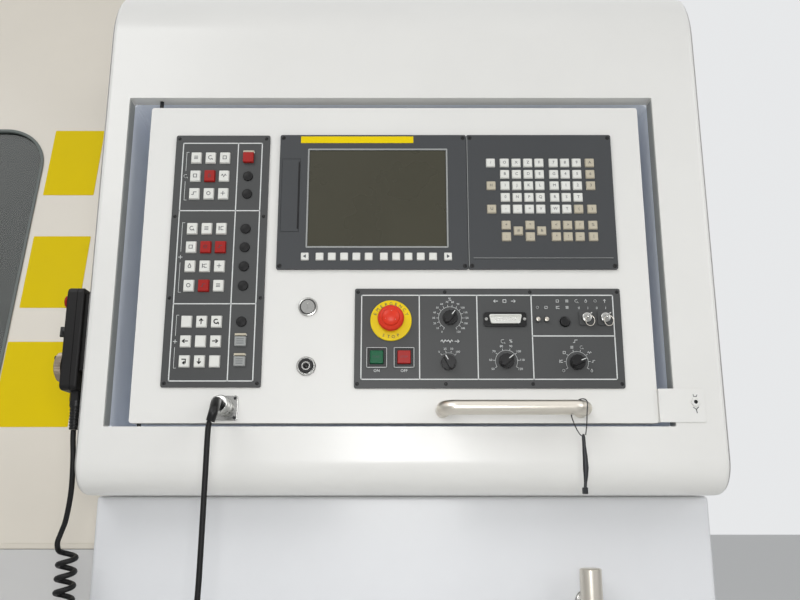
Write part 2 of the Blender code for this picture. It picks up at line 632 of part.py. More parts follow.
def operator_point(at, toward=0.0):
    return panel_point(OPERATOR_LEFT + at[0], OPERATOR_BOTTOM + at[1], toward)


def through_hole(name, at, radius, sides=24):
    base = operator_point(at)
    base.y = PLATE_FACE - 2 * SLACK
    return cylinder(name, base, (0, 1, 0), 4 * SLACK, radius, sides)


def operator_plate():
    plate = faceplate("operator_plate", OPERATOR_LEFT, OPERATOR_BOTTOM, OPERATOR_WIDTH, OPERATOR_HEIGHT,
                      PLATE_THICK)
    raised = [stud("button_frame", operator_point(at), BUTTON_FRAME, BUTTON_FRAME, PLATE_FACE, 0.003)
              for at in BUTTON_AT.values()]
    raised += [stud("switch_base", operator_point(at), KEY_SWITCH_BASE, KEY_SWITCH_BASE, PLATE_FACE, 0.003)
               for at in KEY_SWITCH_AT.values()]
    raised += [stud("tiny_lamp", operator_point(at), 0.006, 0.009, PLATE_FACE, 0.003) for at in TINY_LAMPS]
    fuse(plate, gather("raised_frames", raised))
    well = BUTTON_CAP + 2 * RUN
    holes = [stud("button_well", operator_point(at), well, well, PLATE_FACE, SLACK, SLACK)
             for at in BUTTON_AT.values()]
    holes.append(through_hole("stop_hole", STOP_AT, STEM_RADIUS + RUN))
    holes.append(through_hole("check_hole", CHECK_AT, CHECK_RADIUS + RUN))
    holes += [through_hole("knob_hole", at[:2], SHAFT_RADIUS + RUN, 16) for at in KNOB_AT.values()]
    holes += [through_hole("key_hole", at, SHAFT_RADIUS + RUN, 16) for at in KEY_SWITCH_AT.values()]
    cut(plate, gather("plate_holes", holes))
    paint(plate, DARK_GREY, 0.5)


# Controls on the operator plate
STEM_RADIUS = 0.011
SHAFT_RADIUS = 0.003
STEM_BACK = 0.018       # how far stems and shafts run behind the plate's face


def estop_collar():
    hole = STEM_RADIUS + RUN
    profile = [(COLLAR_RADIUS - 0.0015, COLLAR_THICK), (COLLAR_RADIUS, COLLAR_THICK - 0.0015),
               (COLLAR_RADIUS, 0), (hole, 0), (hole, COLLAR_THICK)]
    base = operator_point(STOP_AT)
    base.y = PLATE_FACE - GAP
    collar = turned("estop_collar", profile, base, (0, -1, 0), 24, ring=True)
    paint(collar, (0.85, 0.62, 0.02), 0.4)


def estop_button():
    """Mushroom head with a stepped crown on a round stem."""
    under = COLLAR_THICK + MUSHROOM_TRAVEL + 0.003
    top = MUSHROOM_RISE
    profile = [(0, top), (0.006, top - 0.0003), (0.0125, top - 0.0020), (0.0138, top - 0.0055),
               (0.0170, top - 0.0075), (MUSHROOM_RADIUS, top - 0.0125), (MUSHROOM_RADIUS, under + 0.004),
               (0.0165, under), (STEM_RADIUS, under), (STEM_RADIUS, -STEM_BACK), (0, -STEM_BACK)]
    base = operator_point(STOP_AT)
    base.y = PLATE_FACE
    button = turned("estop_button", profile, base, (0, -1, 0), 24)
    paint(button, (0.70, 0.03, 0.02), 0.35)


def push_buttons():
    colours = {"start_button": (0.02, 0.30, 0.12), "stop_button": (0.55, 0.02, 0.03)}
    for name, at in BUTTON_AT.items():
        button = stud(name, operator_point(at), BUTTON_CAP, BUTTON_CAP, PLATE_FACE, 0.003 + BUTTON_RISE,
                      STEM_BACK)
        round_edges(button, 0.001, 2)
        paint(button, colours[name], 0.35)
    base = operator_point(CHECK_AT)
    base.y = PLATE_FACE + STEM_BACK
    check = cylinder("check_button", base, (0, -1, 0), STEM_BACK + 0.004, CHECK_RADIUS, 20)
    paint(check, BLACK, 0.4)


def knob(name, at, turn):
    """Round skirt with a gripping wing, set at its pointer's angle clockwise from the top."""
    base = operator_point(at)
    base.y = PLATE_FACE - GAP
    profile = [(0, 0.0075), (KNOB_RADIUS - 0.002, 0.0075), (KNOB_RADIUS, 0.0035), (KNOB_RADIUS, 0),
               (SHAFT_RADIUS, 0), (SHAFT_RADIUS, -STEM_BACK), (0, -STEM_BACK)]
    body = turned(name, profile, base, (0, -1, 0), 18)
    half = KNOB_RADIUS - 0.0003
    wing = block(name + "_wing", (-KNOB_WING / 2, -KNOB_RISE, -half), (KNOB_WING / 2, -0.004, half))
    wing.matrix_world = (Matrix.Translation(base) @ Matrix.Rotation(math.radians(turn), 4, "Y")
                         @ wing.matrix_world)
    round_edges(wing, 0.0015, 2)
    fuse(body, wing)
    paint(body, BLACK, 0.35)


def serial_port():
    centre = operator_point(PORT_AT)
    face = PLATE_FACE - GAP
    port = stud("serial_port", centre, PORT_WIDTH, PORT_HEIGHT, face, 0.003, 0.0)
    shell = [(-0.0240, 0.0065), (0.0240, 0.0065), (0.0215, -0.0065), (-0.0215, -0.0065)]
    shell = [(centre.x + x, centre.z + z) for x, z in rounded(shell, 0.002, 2)]
    fuse(port, front_slab("port_shell", shell, face - 0.007, face - SINK))
    paint(port, (0.75, 0.75, 0.74), 0.35)


def key_switch(name, at):
    """Lock barrel with its key's bow standing out, turned a third of a turn."""
    base = operator_point(at)
    base.y = PLATE_FACE - 0.003 - GAP
    profile = [(0, 0.008), (KEY_SWITCH_RADIUS - 0.001, 0.008), (KEY_SWITCH_RADIUS, 0.007),
               (KEY_SWITCH_RADIUS, 0), (SHAFT_RADIUS, 0), (SHAFT_RADIUS, -STEM_BACK), (0, -STEM_BACK)]
    barrel = turned(name, profile, base, (0, -1, 0), 16)
    key = block(name + "_bow", (-0.001, -0.026, -0.006), (0.001, -0.007, 0.006))
    key.matrix_world = Matrix.Translation(base) @ Matrix.Rotation(math.radians(45), 4, "Y") @ key.matrix_world
    fuse(barrel, key)
    paint(barrel, (0.75, 0.75, 0.72), 0.3, 0.8)


def panel_lock():
    base = panel_point(*LOCK_AT, GAP)
    profile = [(0, 0.0042), (LOCK_RADIUS - 0.003, 0.0040), (LOCK_RADIUS, 0.0018), (LOCK_RADIUS, 0),
               (0.008, 0), (0.008, -0.016), (0, -0.016)]
    lock = turned("panel_lock", profile, base, (0, -1, 0), 20)
    slot = block("lock_slot", (base.x - 0.001, base.y - SLACK, base.z - 0.006),
                 (base.x + 0.001, base.y - 0.0025, base.z + 0.006))
    cut(lock, slot)
    paint(lock, STEEL, 0.3, 0.9)


def round_socket():
    base = panel_point(*SOCKET_AT, GAP)
    profile = [(0, 0.004), (0.003, 0.004), (0.003, 0.002), (0.0065, 0.002), (0.0065, 0.006), (0.0105, 0.006),
               (0.0105, 0.002), (SOCKET_RADIUS, 0.0018), (SOCKET_RADIUS, 0), (0, 0)]
    socket = turned("round_socket", profile, base, (0, -1, 0), 20)
    paint(socket, (0.05, 0.05, 0.05), 0.35)


def panel_handle():
    """Bow handle bent from round bar, its legs standing on the panel."""
    low = panel_point(HANDLE_LEFT + HANDLE_RADIUS, HANDLE_HEIGHT, GAP)
    high = panel_point(HANDLE_RIGHT - HANDLE_RADIUS, HANDLE_HEIGHT, GAP)
    out = Vector((0, -(HANDLE_PROUD - HANDLE_RADIUS - GAP), 0))
    line = bent([low, low + out, high + out, high], HANDLE_BEND)
    handle = tube("panel_handle", line, HANDLE_RADIUS, 3)
    paint(handle, SATIN, 0.35, 0.9)


def key_tag():
    """Wire loop over the handle's right leg with a slender tool hanging from it."""
    bar = panel_point(HANDLE_RIGHT - HANDLE_RADIUS, HANDLE_HEIGHT, HANDLE_PROUD / 2 - 0.006)
    wire = 0.0008
    loop = HANDLE_RADIUS + wire + 2 * GAP + 0.001
    centre_z = bar.z + HANDLE_RADIUS + wire + GAP - loop
    line = [Vector((bar.x + loop * math.cos(angle), bar.y, centre_z + loop * math.sin(angle)))
            for angle in (math.radians(-25 + 23 * step) for step in range(11))]
    line.append(Vector((bar.x, bar.y, bar.z - TOOL_DROP - 0.012)))
    tag = tube("key_tag", line, wire, 1, cyclic=True)
    tool_top = Vector((bar.x, bar.y, bar.z - TOOL_DROP - 0.008))
    fuse(tag, cylinder("tag_tool", tool_top, (0, 0, -1), TOOL_LENGTH, TOOL_RADIUS, 10))
    paint(tag, (0.04, 0.04, 0.045), 0.4, 0.5)


def lock_tab():
    left = PANEL_LEFT + PANEL_WIDTH + GAP
    low = PANEL_BOTTOM + TAB_RISE
    back = CONSOLE_FACE - GAP
    tab = front_slab("lock_tab", rectangle(left, low, TAB_WIDTH, TAB_HEIGHT, 0.002, 2), back - 0.002, back)
    flange = block("tab_flange", (left, back - SINK, low),
                   (left + 0.002, PANEL_FACE + PANEL_DEPTH, low + TAB_HEIGHT))
    fuse(tab, flange)
    cam = cam_centre()
    cut(tab, cylinder("cam_hole", (cam.x, back + SLACK, cam.z), (0, -1, 0), 2 * SLACK + 0.002,
                      SHAFT_RADIUS + RUN, 16))
    paint(tab, WHITE, 0.45)


def cam_centre():
    return Vector((PANEL_LEFT + PANEL_WIDTH + GAP + TAB_WIDTH - CAM_INSET - CAM_RADIUS / 2,
                   CONSOLE_FACE - 2 * GAP - 0.002, PANEL_BOTTOM + TAB_RISE + 0.6 * TAB_HEIGHT))


def lock_cam():
    profile = [(0, 0.003), (CAM_RADIUS - 0.0015, 0.003), (CAM_RADIUS, 0.0015), (CAM_RADIUS, 0),
               (SHAFT_RADIUS, 0), (SHAFT_RADIUS, -0.002), (0, -0.002)]
    centre = cam_centre()
    cam = turned("lock_cam", profile, centre, (0, -1, 0), 16)
    slot = block("cam_slot", (centre.x - 0.0012, centre.y - SLACK, centre.z - 0.0065),
                 (centre.x + 0.0012, centre.y - 0.0015, centre.z + 0.0065))
    cut(cam, slot)
    paint(cam, STEEL, 0.4, 0.9)


# Handheld wheel unit, its connector and its lead
PENDANT_RIGHT = CONSOLE_LEFT - PENDANT_BRACKET
PENDANT_LEFT = PENDANT_RIGHT - PENDANT_THICK
PENDANT_MID = PENDANT_FRONT + PENDANT_WIDTH / 2
PENDANT_CORD_X = PENDANT_RIGHT - 0.010


def smooth_route(points, spacing):
    """Catmull-Rom curve through hand-placed points, sampled about evenly."""
    points = [Vector(point) for point in points]
    ends = [points[0] * 2 - points[1]] + points + [points[-1] * 2 - points[-2]]
    line = [points[0]]
    for before, start, end, after in zip(ends, ends[1:], ends[2:], ends[3:]):
        steps = max(1, round((end - start).length / spacing))
        for step in range(1, steps + 1):
            t = step / steps
            bend = (start * 2 + (end - before) * t + (before * 2 - start * 5 + end * 4 - after) * t ** 2
                    + (start * 3 - before - end * 3 + after) * t ** 3)
            line.append(bend / 2)
    return line


def pendant():
    middle = (PENDANT_LEFT + PENDANT_RIGHT) / 2
    body = block("pendant_body", (PENDANT_LEFT, PENDANT_FRONT, PENDANT_BOTTOM),
                 (PENDANT_RIGHT, PENDANT_FRONT + PENDANT_WIDTH, PENDANT_TOP))
    round_edges(body, 0.006, 2)
    boot_base = Vector((PENDANT_CORD_X, PENDANT_MID, PENDANT_BOTTOM + SINK * 2))
    boot = cylinder("pendant_boot", boot_base, (0, 0, -1), PENDANT_BOOT_LENGTH + SINK * 2,
                    PENDANT_BOOT_RADIUS + 0.002, 12, PENDANT_BOOT_RADIUS)
    fuse(body, boot)
    stems = [cylinder("pendant_hole", (PENDANT_LEFT - SLACK, PENDANT_MID, height), (1, 0, 0),
                      SLACK + 0.010, SHAFT_RADIUS + RUN, 16)
             for height in (PENDANT_WHEEL_Z, PENDANT_SELECTOR_Z, PENDANT_STOP_Z)]
    cut(body, gather("pendant_holes", stems))
    paint(body, (0.03, 0.03, 0.035), 0.5)
    bracket = block("pendant_bracket", (PENDANT_RIGHT + GAP, PENDANT_FRONT + 0.015, PENDANT_BOTTOM + 0.03),
                    (CONSOLE_LEFT - GAP, PENDANT_FRONT + PENDANT_WIDTH - 0.015, PENDANT_TOP - 0.02))
    paint(bracket, COOL_WHITE, 0.4)
    pendant_control("pendant_wheel", PENDANT_WHEEL_Z, PENDANT_WHEEL_RADIUS, PENDANT_WHEEL_THICK,
                    GAP, BLACK)
    pendant_control("pendant_selector", PENDANT_SELECTOR_Z, 0.009, 0.013, GAP, BLACK)
    pendant_control("pendant_stop", PENDANT_STOP_Z, 0.010, 0.012, 0.004, (0.6, 0.02, 0.01))


def pendant_control(name, height, radius, rise, lift, colour):
    """Round control on the pendant's outer face, lifted off it by its travel."""
    base = Vector((PENDANT_LEFT, PENDANT_MID, height))
    profile = [(0, rise + lift), (radius - 0.002, rise + lift), (radius, rise + lift - 0.002), (radius, lift),
               (SHAFT_RADIUS, lift), (SHAFT_RADIUS, -0.006), (0, -0.006)]
    control = turned(name, profile, base, (-1, 0, 0), 18)
    if name == "pendant_wheel":
        grip = cylinder("wheel_grip", base + Vector((-rise, 0, radius * 0.65)), (-1, 0, 0), 0.006, 0.004, 10)
        fuse(control, grip)
    paint(control, colour, 0.4)


def connector():
    """Square flange with a round shell, and the angled plug pushed on it."""
    base = panel_point(*CONNECTOR_AT, GAP)
    socket = stud("cord_socket", base, CONNECTOR_FLANGE, CONNECTOR_FLANGE, base.y, 0.0025, 0.0)
    round_edges(socket, 0.0015, 2)
    shell = cylinder("socket_shell", base + Vector((0, -SINK, 0)), (0, -1, 0), CONNECTOR_DEPTH - SINK,
                     CONNECTOR_RADIUS, 24)
    fuse(socket, shell)
    paint(socket, STEEL, 0.3, 0.9)
    start = base + Vector((0, -CONNECTOR_DEPTH - GAP, 0))
    collar = cylinder("cord_plug", start, (0, -1, 0), 0.007, PLUG_COLLAR, 24)
    first, second = (Vector(point) for point in smooth_route(CORD_ROUTE, CORD_SPACING)[:2])
    slant = (first - second).normalized()
    end = first + slant * GAP
    knee = end + slant * ((base.z - end.z) / slant.z)
    line = bent([start + Vector((0, -0.004, 0)), knee, end], 0.012)
    fuse(collar, tube("plug_boot", line, BOOT_RADIUS, 3))
    paint(collar, (0.02, 0.02, 0.02), 0.5)


# The lead leaves the boot on a slant, hangs, turns up below and climbs through the coil to the pendant
CORD_ROUTE = [(1.2070, CORD_FRONT, CORD_TOP), (1.2045, CORD_FRONT, 1.182), (1.2040, CORD_FRONT, 1.120),
              (1.2035, CORD_FRONT, 1.040), (1.2020, -0.879, 0.957), (1.1960, -0.874, 0.860),
              (1.1740, -0.862, 0.750), (1.1330, -0.845, 0.665), (1.0840, -0.820, 0.618),
              (1.0330, -0.790, 0.616), (0.9980, -0.767, 0.655), (0.9830, -0.758, 0.700),
              (COIL_X, COIL_Y, 0.730), (COIL_X, COIL_Y, COIL_BOTTOM - GAP)]


def cord():
    lead = tube("cord_lead", smooth_route(CORD_ROUTE, CORD_SPACING), CORD_RADIUS, 2)
    paint(lead, (0.02, 0.02, 0.02), 0.5)
    coil = cylinder("cord_coil", (COIL_X, COIL_Y, COIL_BOTTOM), (0, 0, 1), COIL_TOP - COIL_BOTTOM,
                    COIL_RADIUS, 20)
    paint(coil, (0.02, 0.02, 0.02), 0.5)
    tail_top = PENDANT_BOTTOM - PENDANT_BOOT_LENGTH - GAP
    tail_route = [(PENDANT_CORD_X, PENDANT_MID, tail_top), (PENDANT_CORD_X, PENDANT_MID, 1.172),
                  (0.9850, -0.794, 1.135), (0.9840, -0.784, 1.090), (0.9770, -0.768, 1.050),
                  (COIL_X, COIL_Y, 1.028), (COIL_X, COIL_Y, COIL_TOP + GAP)]
    tail = tube("cord_tail", smooth_route(tail_route, CORD_SPACING), CORD_RADIUS, 2)
    paint(tail, (0.02, 0.02, 0.02), 0.5)


# Casting, spindle and slides
def bed_point(up, out):
    """Section point (Y, Z) from distances up the bed and out of it."""
    point = BED_AXIS @ Vector((0, up, out))
    return (point.y, point.z)


def bed_outline():
    low, high = bed_point(-BED_HALF, -BED_DROP), bed_point(BED_HALF, -BED_DROP)
    foot = BASE_TOP - SLACK
    return [(low[0] - 0.06, foot), (high[0] + 0.09, foot), (high[0] + 0.09, high[1]), high, low]


def bed_casting():
    """Base and 45 degree bed in one casting, with two raised ways and a tunnel for the coolant tank."""
    bed = block("bed_casting", (LEFT + BASE_END, BASE_FRONT, BASE_BOTTOM), (RIGHT - BASE_END, REAR, BASE_TOP))
    wedge = slab("bed_wedge", bed_outline(), SIDE, BED_LEFT, BED_RIGHT)
    ways_left = CHAMBER_LEFT + CHAMBER_WALL + 0.005
    ways = [slab("way", rectangle(side * WAY_OFFSET - WAY_WIDTH / 2, -BED_DROP - 0.005, WAY_WIDTH,
                                  WAY_RISE + 0.005), BED_SIDE, ways_left, BED_RIGHT - 0.005)
            for side in (-1, 1)]
    feet = [cylinder("foot", (x, y, 0), (0, 0, 1), BASE_BOTTOM + SINK, FOOT_RADIUS, 16)
            for x in (LEFT + 0.15, -0.15, RIGHT - 0.15) for y in (BASE_FRONT + 0.10, REAR - 0.10)]
    fuse(bed, wedge, gather("ways", ways), gather("feet", feet))
    floor = BASE_BOTTOM + TUNNEL_FLOOR
    tunnel = block("tank_tunnel", (TANK_LEFT - SHEET, BASE_FRONT - SLACK, floor),
                   (TANK_RIGHT + SHEET, TANK_BACK + SLACK, floor + TANK_HEIGHT + SLACK))
    cut(bed, tunnel)
    paint(bed, COOL_WHITE, 0.5)


def arch(foot_half, foot, shoulder, radius):
    """Headstock section: a flat foot that closes into a round top about the spindle axis."""
    outline = [(-foot_half, foot), (foot_half, foot), (foot_half, foot + shoulder)]
    outline += [(radius * math.cos(angle), radius * math.sin(angle))
                for angle in (math.radians(-15 + 15 * step) for step in range(15))]
    outline.append((-foot_half, foot + shoulder))
    return outline


def axis_point(x):
    return Vector((x, SPINDLE_Y, SPINDLE_Z))


def headstock():
    stock = slab("headstock", arch(HEADSTOCK_FOOT, -BED_DROP + GAP, 0.05, HEADSTOCK_RADIUS), BED_SIDE,
                 HEADSTOCK_LEFT, HEADSTOCK_RIGHT)
    cut(stock, cylinder("spindle_bore", axis_point(HEADSTOCK_LEFT - SLACK), (1, 0, 0),
                        HEADSTOCK_RIGHT - HEADSTOCK_LEFT + 2 * SLACK, SPINDLE_RADIUS + RUN, 32))
    paint(stock, COOL_WHITE, 0.5)


def spindle():
    base = HEADSTOCK_LEFT - GAP - 0.07
    top = CHUCK_LEFT - GAP - base
    flange = HEADSTOCK_RIGHT + GAP - base
    profile = [(NOSE_RADIUS, top), (NOSE_RADIUS, flange), (SPINDLE_RADIUS, flange), (SPINDLE_RADIUS, 0.07),
               (PULLEY_RADIUS, 0.07), (PULLEY_RADIUS, 0), (SPINDLE_BORE, 0), (SPINDLE_BORE, top)]
    shaft = turned("spindle", profile, axis_point(base), (1, 0, 0), 32, ring=True)
    paint(shaft, STEEL, 0.3, 1.0)


def chuck():
    profile = [(CHUCK_RADIUS - 0.004, CHUCK_THICK), (CHUCK_RADIUS, CHUCK_THICK - 0.004), (CHUCK_RADIUS, 0),
               (CHUCK_BORE, 0), (CHUCK_BORE, CHUCK_THICK)]
    body = turned("chuck", profile, axis_point(CHUCK_LEFT), (1, 0, 0), 36, ring=True)
    half = JAW_WIDTH / 2 + GAP
    slots = []
    for index in range(3):
        frame = Matrix.Translation(axis_point(CHUCK_LEFT)) @ Matrix.Rotation(index * math.tau / 3, 4, "X")
        slots.append(block("jaw_slot", (CHUCK_THICK - JAW_SLOT, -half, CHUCK_BORE - SLACK),
                           (CHUCK_THICK + SLACK, half, CHUCK_RADIUS + SLACK), frame))
    cut(body, gather("jaw_slots", slots))
    paint(body, STEEL, 0.3, 1.0)


JAW_PLANE = Matrix(((0, 1, 0, 0), (0, 0, 1, 0), (1, 0, 0, 0), (0, 0, 0, 1)))


def chuck_jaws():
    """Three stepped jaws, keyed in the chuck's radial slots."""
    seat = axis_point(CHUCK_LEFT + CHUCK_THICK - JAW_SLOT + GAP)
    third = (JAW_OUTER - JAW_INNER) / 3
    low, middle = JAW_SLOT + 0.022, JAW_SLOT + 0.042
    outline = [(JAW_INNER, 0), (JAW_OUTER, 0), (JAW_OUTER, low), (JAW_OUTER - third, low),
               (JAW_OUTER - third, middle), (JAW_OUTER - 2 * third, middle),
               (JAW_OUTER - 2 * third, JAW_RISE),
               (JAW_INNER, JAW_RISE)]
    for index in range(3):
        frame = Matrix.Translation(seat) @ Matrix.Rotation(index * math.tau / 3, 4, "X") @ JAW_PLANE
        jaw = slab(f"chuck_jaw_{index + 1}", outline, frame, -JAW_WIDTH / 2, JAW_WIDTH / 2)
        paint(jaw, STEEL, 0.35, 1.0)


def saddle_and_turret():
    way_top = -BED_DROP + WAY_RISE + GAP
    right = SADDLE_LEFT + SADDLE_WIDTH
    saddle = slab("saddle", rectangle(-SADDLE_HALF, way_top, 2 * SADDLE_HALF, SADDLE_THICK), BED_SIDE,
                  SADDLE_LEFT, right)
    round_edges(saddle, 0.008, 1)
    paint(saddle, STEEL, 0.4, 0.8)
    seat = way_top + SADDLE_THICK + GAP
    slide = slab("cross_slide", rectangle(CROSS_LOW, seat, CROSS_HIGH - CROSS_LOW, CROSS_THICK), BED_SIDE,
                 SADDLE_LEFT, right)
    head = slab("turret_head", rectangle(TURRET_AT - TURRET_HALF, seat + CROSS_THICK - SINK, 2 * TURRET_HALF,
                                         TURRET_TOP - seat - CROSS_THICK + SINK, 0.03), BED_SIDE,
                SADDLE_LEFT, right - 0.05)
    motor_base = BED_AXIS @ Vector((right - 0.05 - SINK, TURRET_AT, 0.0))
    fuse(slide, head, cylinder("turret_motor", motor_base, (1, 0, 0), 0.12, 0.06, 20))
    paint(slide, COOL_WHITE, 0.4)


def turret_disc():
    """Twelve-sided tool disc with a holder on every flat and a tool shank in every other one."""
    right = SADDLE_LEFT - GAP
    centre = (TURRET_AT, 0.0)
    half = math.pi / STATIONS
    disc = slab("turret_disc", regular(STATIONS, DISC_RADIUS / math.cos(half), centre, half), BED_SIDE,
                right - DISC_THICK, right)
    round_edges(disc, 0.003, 1, 60)
    middle = right - DISC_THICK / 2
    tools = []
    for station in range(STATIONS):
        frame = (BED_AXIS @ Matrix.Translation((middle, TURRET_AT, 0.0))
                 @ Matrix.Rotation(station * 2 * half, 4, "X"))
        reach = TOOL_REACH if station % 2 else DISC_RADIUS + 0.03
        width = 0.008 if station % 2 else 0.016
        shank = block("tool", (-width, -width, DISC_RADIUS - 0.004), (width, width, reach), frame)
        tools.append(shank)
    fuse(disc, gather("tools", tools))
    paint(disc, STEEL, 0.35, 0.9)


def tailstock_and_quill():
    stock = slab("tailstock", arch(HEADSTOCK_FOOT, -BED_DROP + WAY_RISE + GAP, 0.06, TAILSTOCK_RADIUS),
                 BED_SIDE, TAILSTOCK_LEFT, TAILSTOCK_LEFT + TAILSTOCK_WIDTH)
    cut(stock, cylinder("quill_bore", axis_point(TAILSTOCK_LEFT - SLACK), (1, 0, 0),
                        TAILSTOCK_WIDTH + 2 * SLACK, QUILL_RADIUS + RUN, 32))
    paint(stock, COOL_WHITE, 0.5)
    base = TAILSTOCK_LEFT + TAILSTOCK_WIDTH - 0.02
    length = base - QUILL_TIP
    profile = [(0, length), (0.016, length - 0.028), (0.016, length - 0.05),
               (QUILL_RADIUS - 0.003, length - 0.052),
               (QUILL_RADIUS, length - 0.055), (QUILL_RADIUS, 0), (0, 0)]
    quill = turned("quill", profile, axis_point(base), (-1, 0, 0), 32)
    paint(quill, STEEL, 0.25, 1.0)


# Covers, sliding door, tank and electrical cabinet
FLANGE_END = -0.36


def lean_y(height, behind):
    """Y of a plane parallel to the door's face, some distance behind it, at a height."""
    return APRON_FACE + (height - BREAK) * math.tan(DOOR_LEAN) + behind / math.cos(DOOR_LEAN)


def enclosure_outline():
    sill = BASE_TOP + SHEET + 2 * GAP
    inner = APRON_INNER + GAP
    rest = BREAK + GAP
    return [(lean_y(rest, COVER_BEHIND_DOOR), rest), (inner, rest), (inner, sill), (FLANGE_END + GAP, sill),
            (FLANGE_END + GAP, BASE_TOP + GAP), (REAR, BASE_TOP + GAP), (REAR, ROOF),
            (lean_y(ROOF, COVER_BEHIND_DOOR), ROOF)]


def enclosure_hollow():
    low, high = BASE_TOP - SLACK, ROOF - SHEET
    behind = COVER_BEHIND_DOOR + SHEET
    return [(lean_y(low, behind), low), (REAR - SHEET, low), (REAR - SHEET, high),
            (lean_y(high, behind), high)]


def headstock_cover():
    right = CHAMBER_LEFT - GAP
    cover = slab("headstock_cover", enclosure_outline(), SIDE, LEFT, right)
    cut(cover, slab("headstock_cover_hollow", enclosure_hollow(), SIDE, LEFT + SHEET, right + SLACK))
    paint(cover, WHITE, 0.4)


def rear_cover():
    """Back, roof and ends of the work chamber, and the closed bay behind the console."""
    front = CONSOLE_BACK + GAP
    low = BASE_TOP + SHEET + 2 * GAP
    cover = slab("rear_cover", enclosure_outline(), SIDE, CHAMBER_LEFT, CHAMBER_RIGHT + SHEET)
    bay = block("tail_bay", (CHAMBER_RIGHT, front, low), (RIGHT, REAR, ROOF))
    chamber = slab("chamber_hollow", enclosure_hollow(), SIDE, CHAMBER_LEFT + CHAMBER_WALL, CHAMBER_RIGHT)
    bay_hollow = block("bay_hollow", (CHAMBER_RIGHT + SHEET, front + SHEET, low - SLACK),
                       (RIGHT - SHEET, REAR - SHEET, ROOF - SHEET))
    doorway = block("doorway", (CHAMBER_LEFT + CHAMBER_WALL + DOOR_FRAME, -0.05,
                                -COVER_BEHIND_DOOR - 3 * SHEET),
                    (CHAMBER_RIGHT - DOOR_FRAME, (ROOF - BREAK) / math.cos(DOOR_LEAN) - 2 * DOOR_FRAME,
                     -COVER_BEHIND_DOOR + 3 * SHEET), DOOR_PLANE)
    bed_gap = slab("bed_gap", inset(bed_outline(), -0.004), SIDE, CHAMBER_LEFT - SLACK,
                   CHAMBER_LEFT + CHAMBER_WALL + SLACK)
    nose_gap = cylinder("nose_gap", axis_point(CHAMBER_LEFT - SLACK), (1, 0, 0), CHAMBER_WALL + 2 * SLACK,
                        NOSE_RADIUS + 0.008, 32)
    fuse(cover, bay)
    cut(cover, chamber, bay_hollow, doorway, bed_gap, nose_gap)
    paint(cover, WHITE, 0.4)


def front_apron():
    flange = BASE_TOP + GAP + SHEET
    line = [(FLANGE_END, flange), (APRON_INNER, flange), (APRON_INNER, BREAK), (APRON_FACE, BREAK),
            (APRON_FACE, APRON_BOTTOM), (BASE_FRONT - 0.05, APRON_BOTTOM)]
    apron = slab("front_apron", ribbon(line, SHEET), SIDE, LEFT, CONSOLE_LEFT - GAP)
    end_plate = block("apron_end", (LEFT, APRON_FACE + SINK, APRON_BOTTOM + SINK),
                      (LEFT + SHEET, APRON_INNER - SINK, BREAK - SINK))
    fuse(apron, end_plate)
    paint(apron, WARM_WHITE, 0.4)


def door_low():
    return (DOOR_THICK * math.sin(DOOR_LEAN) + GAP) / math.cos(DOOR_LEAN)


def front_door():
    """Folded pan that slides on the apron's sill, with a rounded window cut in it."""
    high = WINDOW_HIGH + WINDOW_ABOVE
    low = door_low()
    door = slab("front_door", rectangle(DOOR_LEFT, low, DOOR_WIDTH, high - low, 0.006, 2), DOOR_PLANE,
                -DOOR_THICK, 0.0)
    inside = rectangle(DOOR_LEFT + SHEET, low + SHEET, DOOR_WIDTH - 2 * SHEET, high - low - 2 * SHEET)
    cut(door, slab("door_hollow", inside, DOOR_PLANE, -DOOR_THICK - SLACK, -SHEET),
        slab("door_window_hole", window_outline(0.0), DOOR_PLANE, -DOOR_THICK - SLACK, SLACK))
    paint(door, WARM_WHITE, 0.4)


def window_outline(grow):
    left = DOOR_RIGHT - WINDOW_FROM_RIGHT - WINDOW_WIDTH
    return rectangle(left - grow, WINDOW_LOW - grow, WINDOW_WIDTH + 2 * grow,
                     WINDOW_HIGH - WINDOW_LOW + 2 * grow,
                     WINDOW_CORNER + grow, 6)


def door_window():
    front = -SHEET - GAP
    pane = slab("door_window", window_outline(PANE_EDGE), DOOR_PLANE, front - PANE_THICK, front)
    paint(pane, (0.10, 0.11, 0.10), 0.1)


def door_handle():
    x = DOOR_LEFT + DOOR_HANDLE_FROM_LEFT
    corners = [(x, DOOR_HANDLE_LOW, GAP), (x, DOOR_HANDLE_LOW, HANDLE_PROUD),
               (x, DOOR_HANDLE_HIGH, HANDLE_PROUD), (x, DOOR_HANDLE_HIGH, GAP)]
    line = bent([DOOR_PLANE @ Vector(corner) for corner in corners], HANDLE_BEND)
    handle = tube("door_handle", line, HANDLE_RADIUS, 3)
    paint(handle, SATIN, 0.35, 0.9)


def tower_cabinet():
    """Lift-off lower cover under the console, a pan open toward the machine."""
    back, top = BASE_FRONT - GAP, CONSOLE_BOTTOM - GAP
    height = top - TOWER_BOTTOM
    cabinet = front_slab("tower_cabinet", rectangle(CONSOLE_LEFT, TOWER_BOTTOM, CONSOLE_WIDTH, height),
                         TOWER_FACE, back)
    round_edges(cabinet, EDGE_ROLL / 2, 2)
    hollow = rectangle(CONSOLE_LEFT + SHEET, TOWER_BOTTOM + SHEET, CONSOLE_WIDTH - 2 * SHEET,
                       height - 2 * SHEET)
    cut(cabinet, front_slab("tower_hollow", hollow, TOWER_FACE + SHEET, back + SLACK))
    paint(cabinet, COOL_WHITE, 0.4)


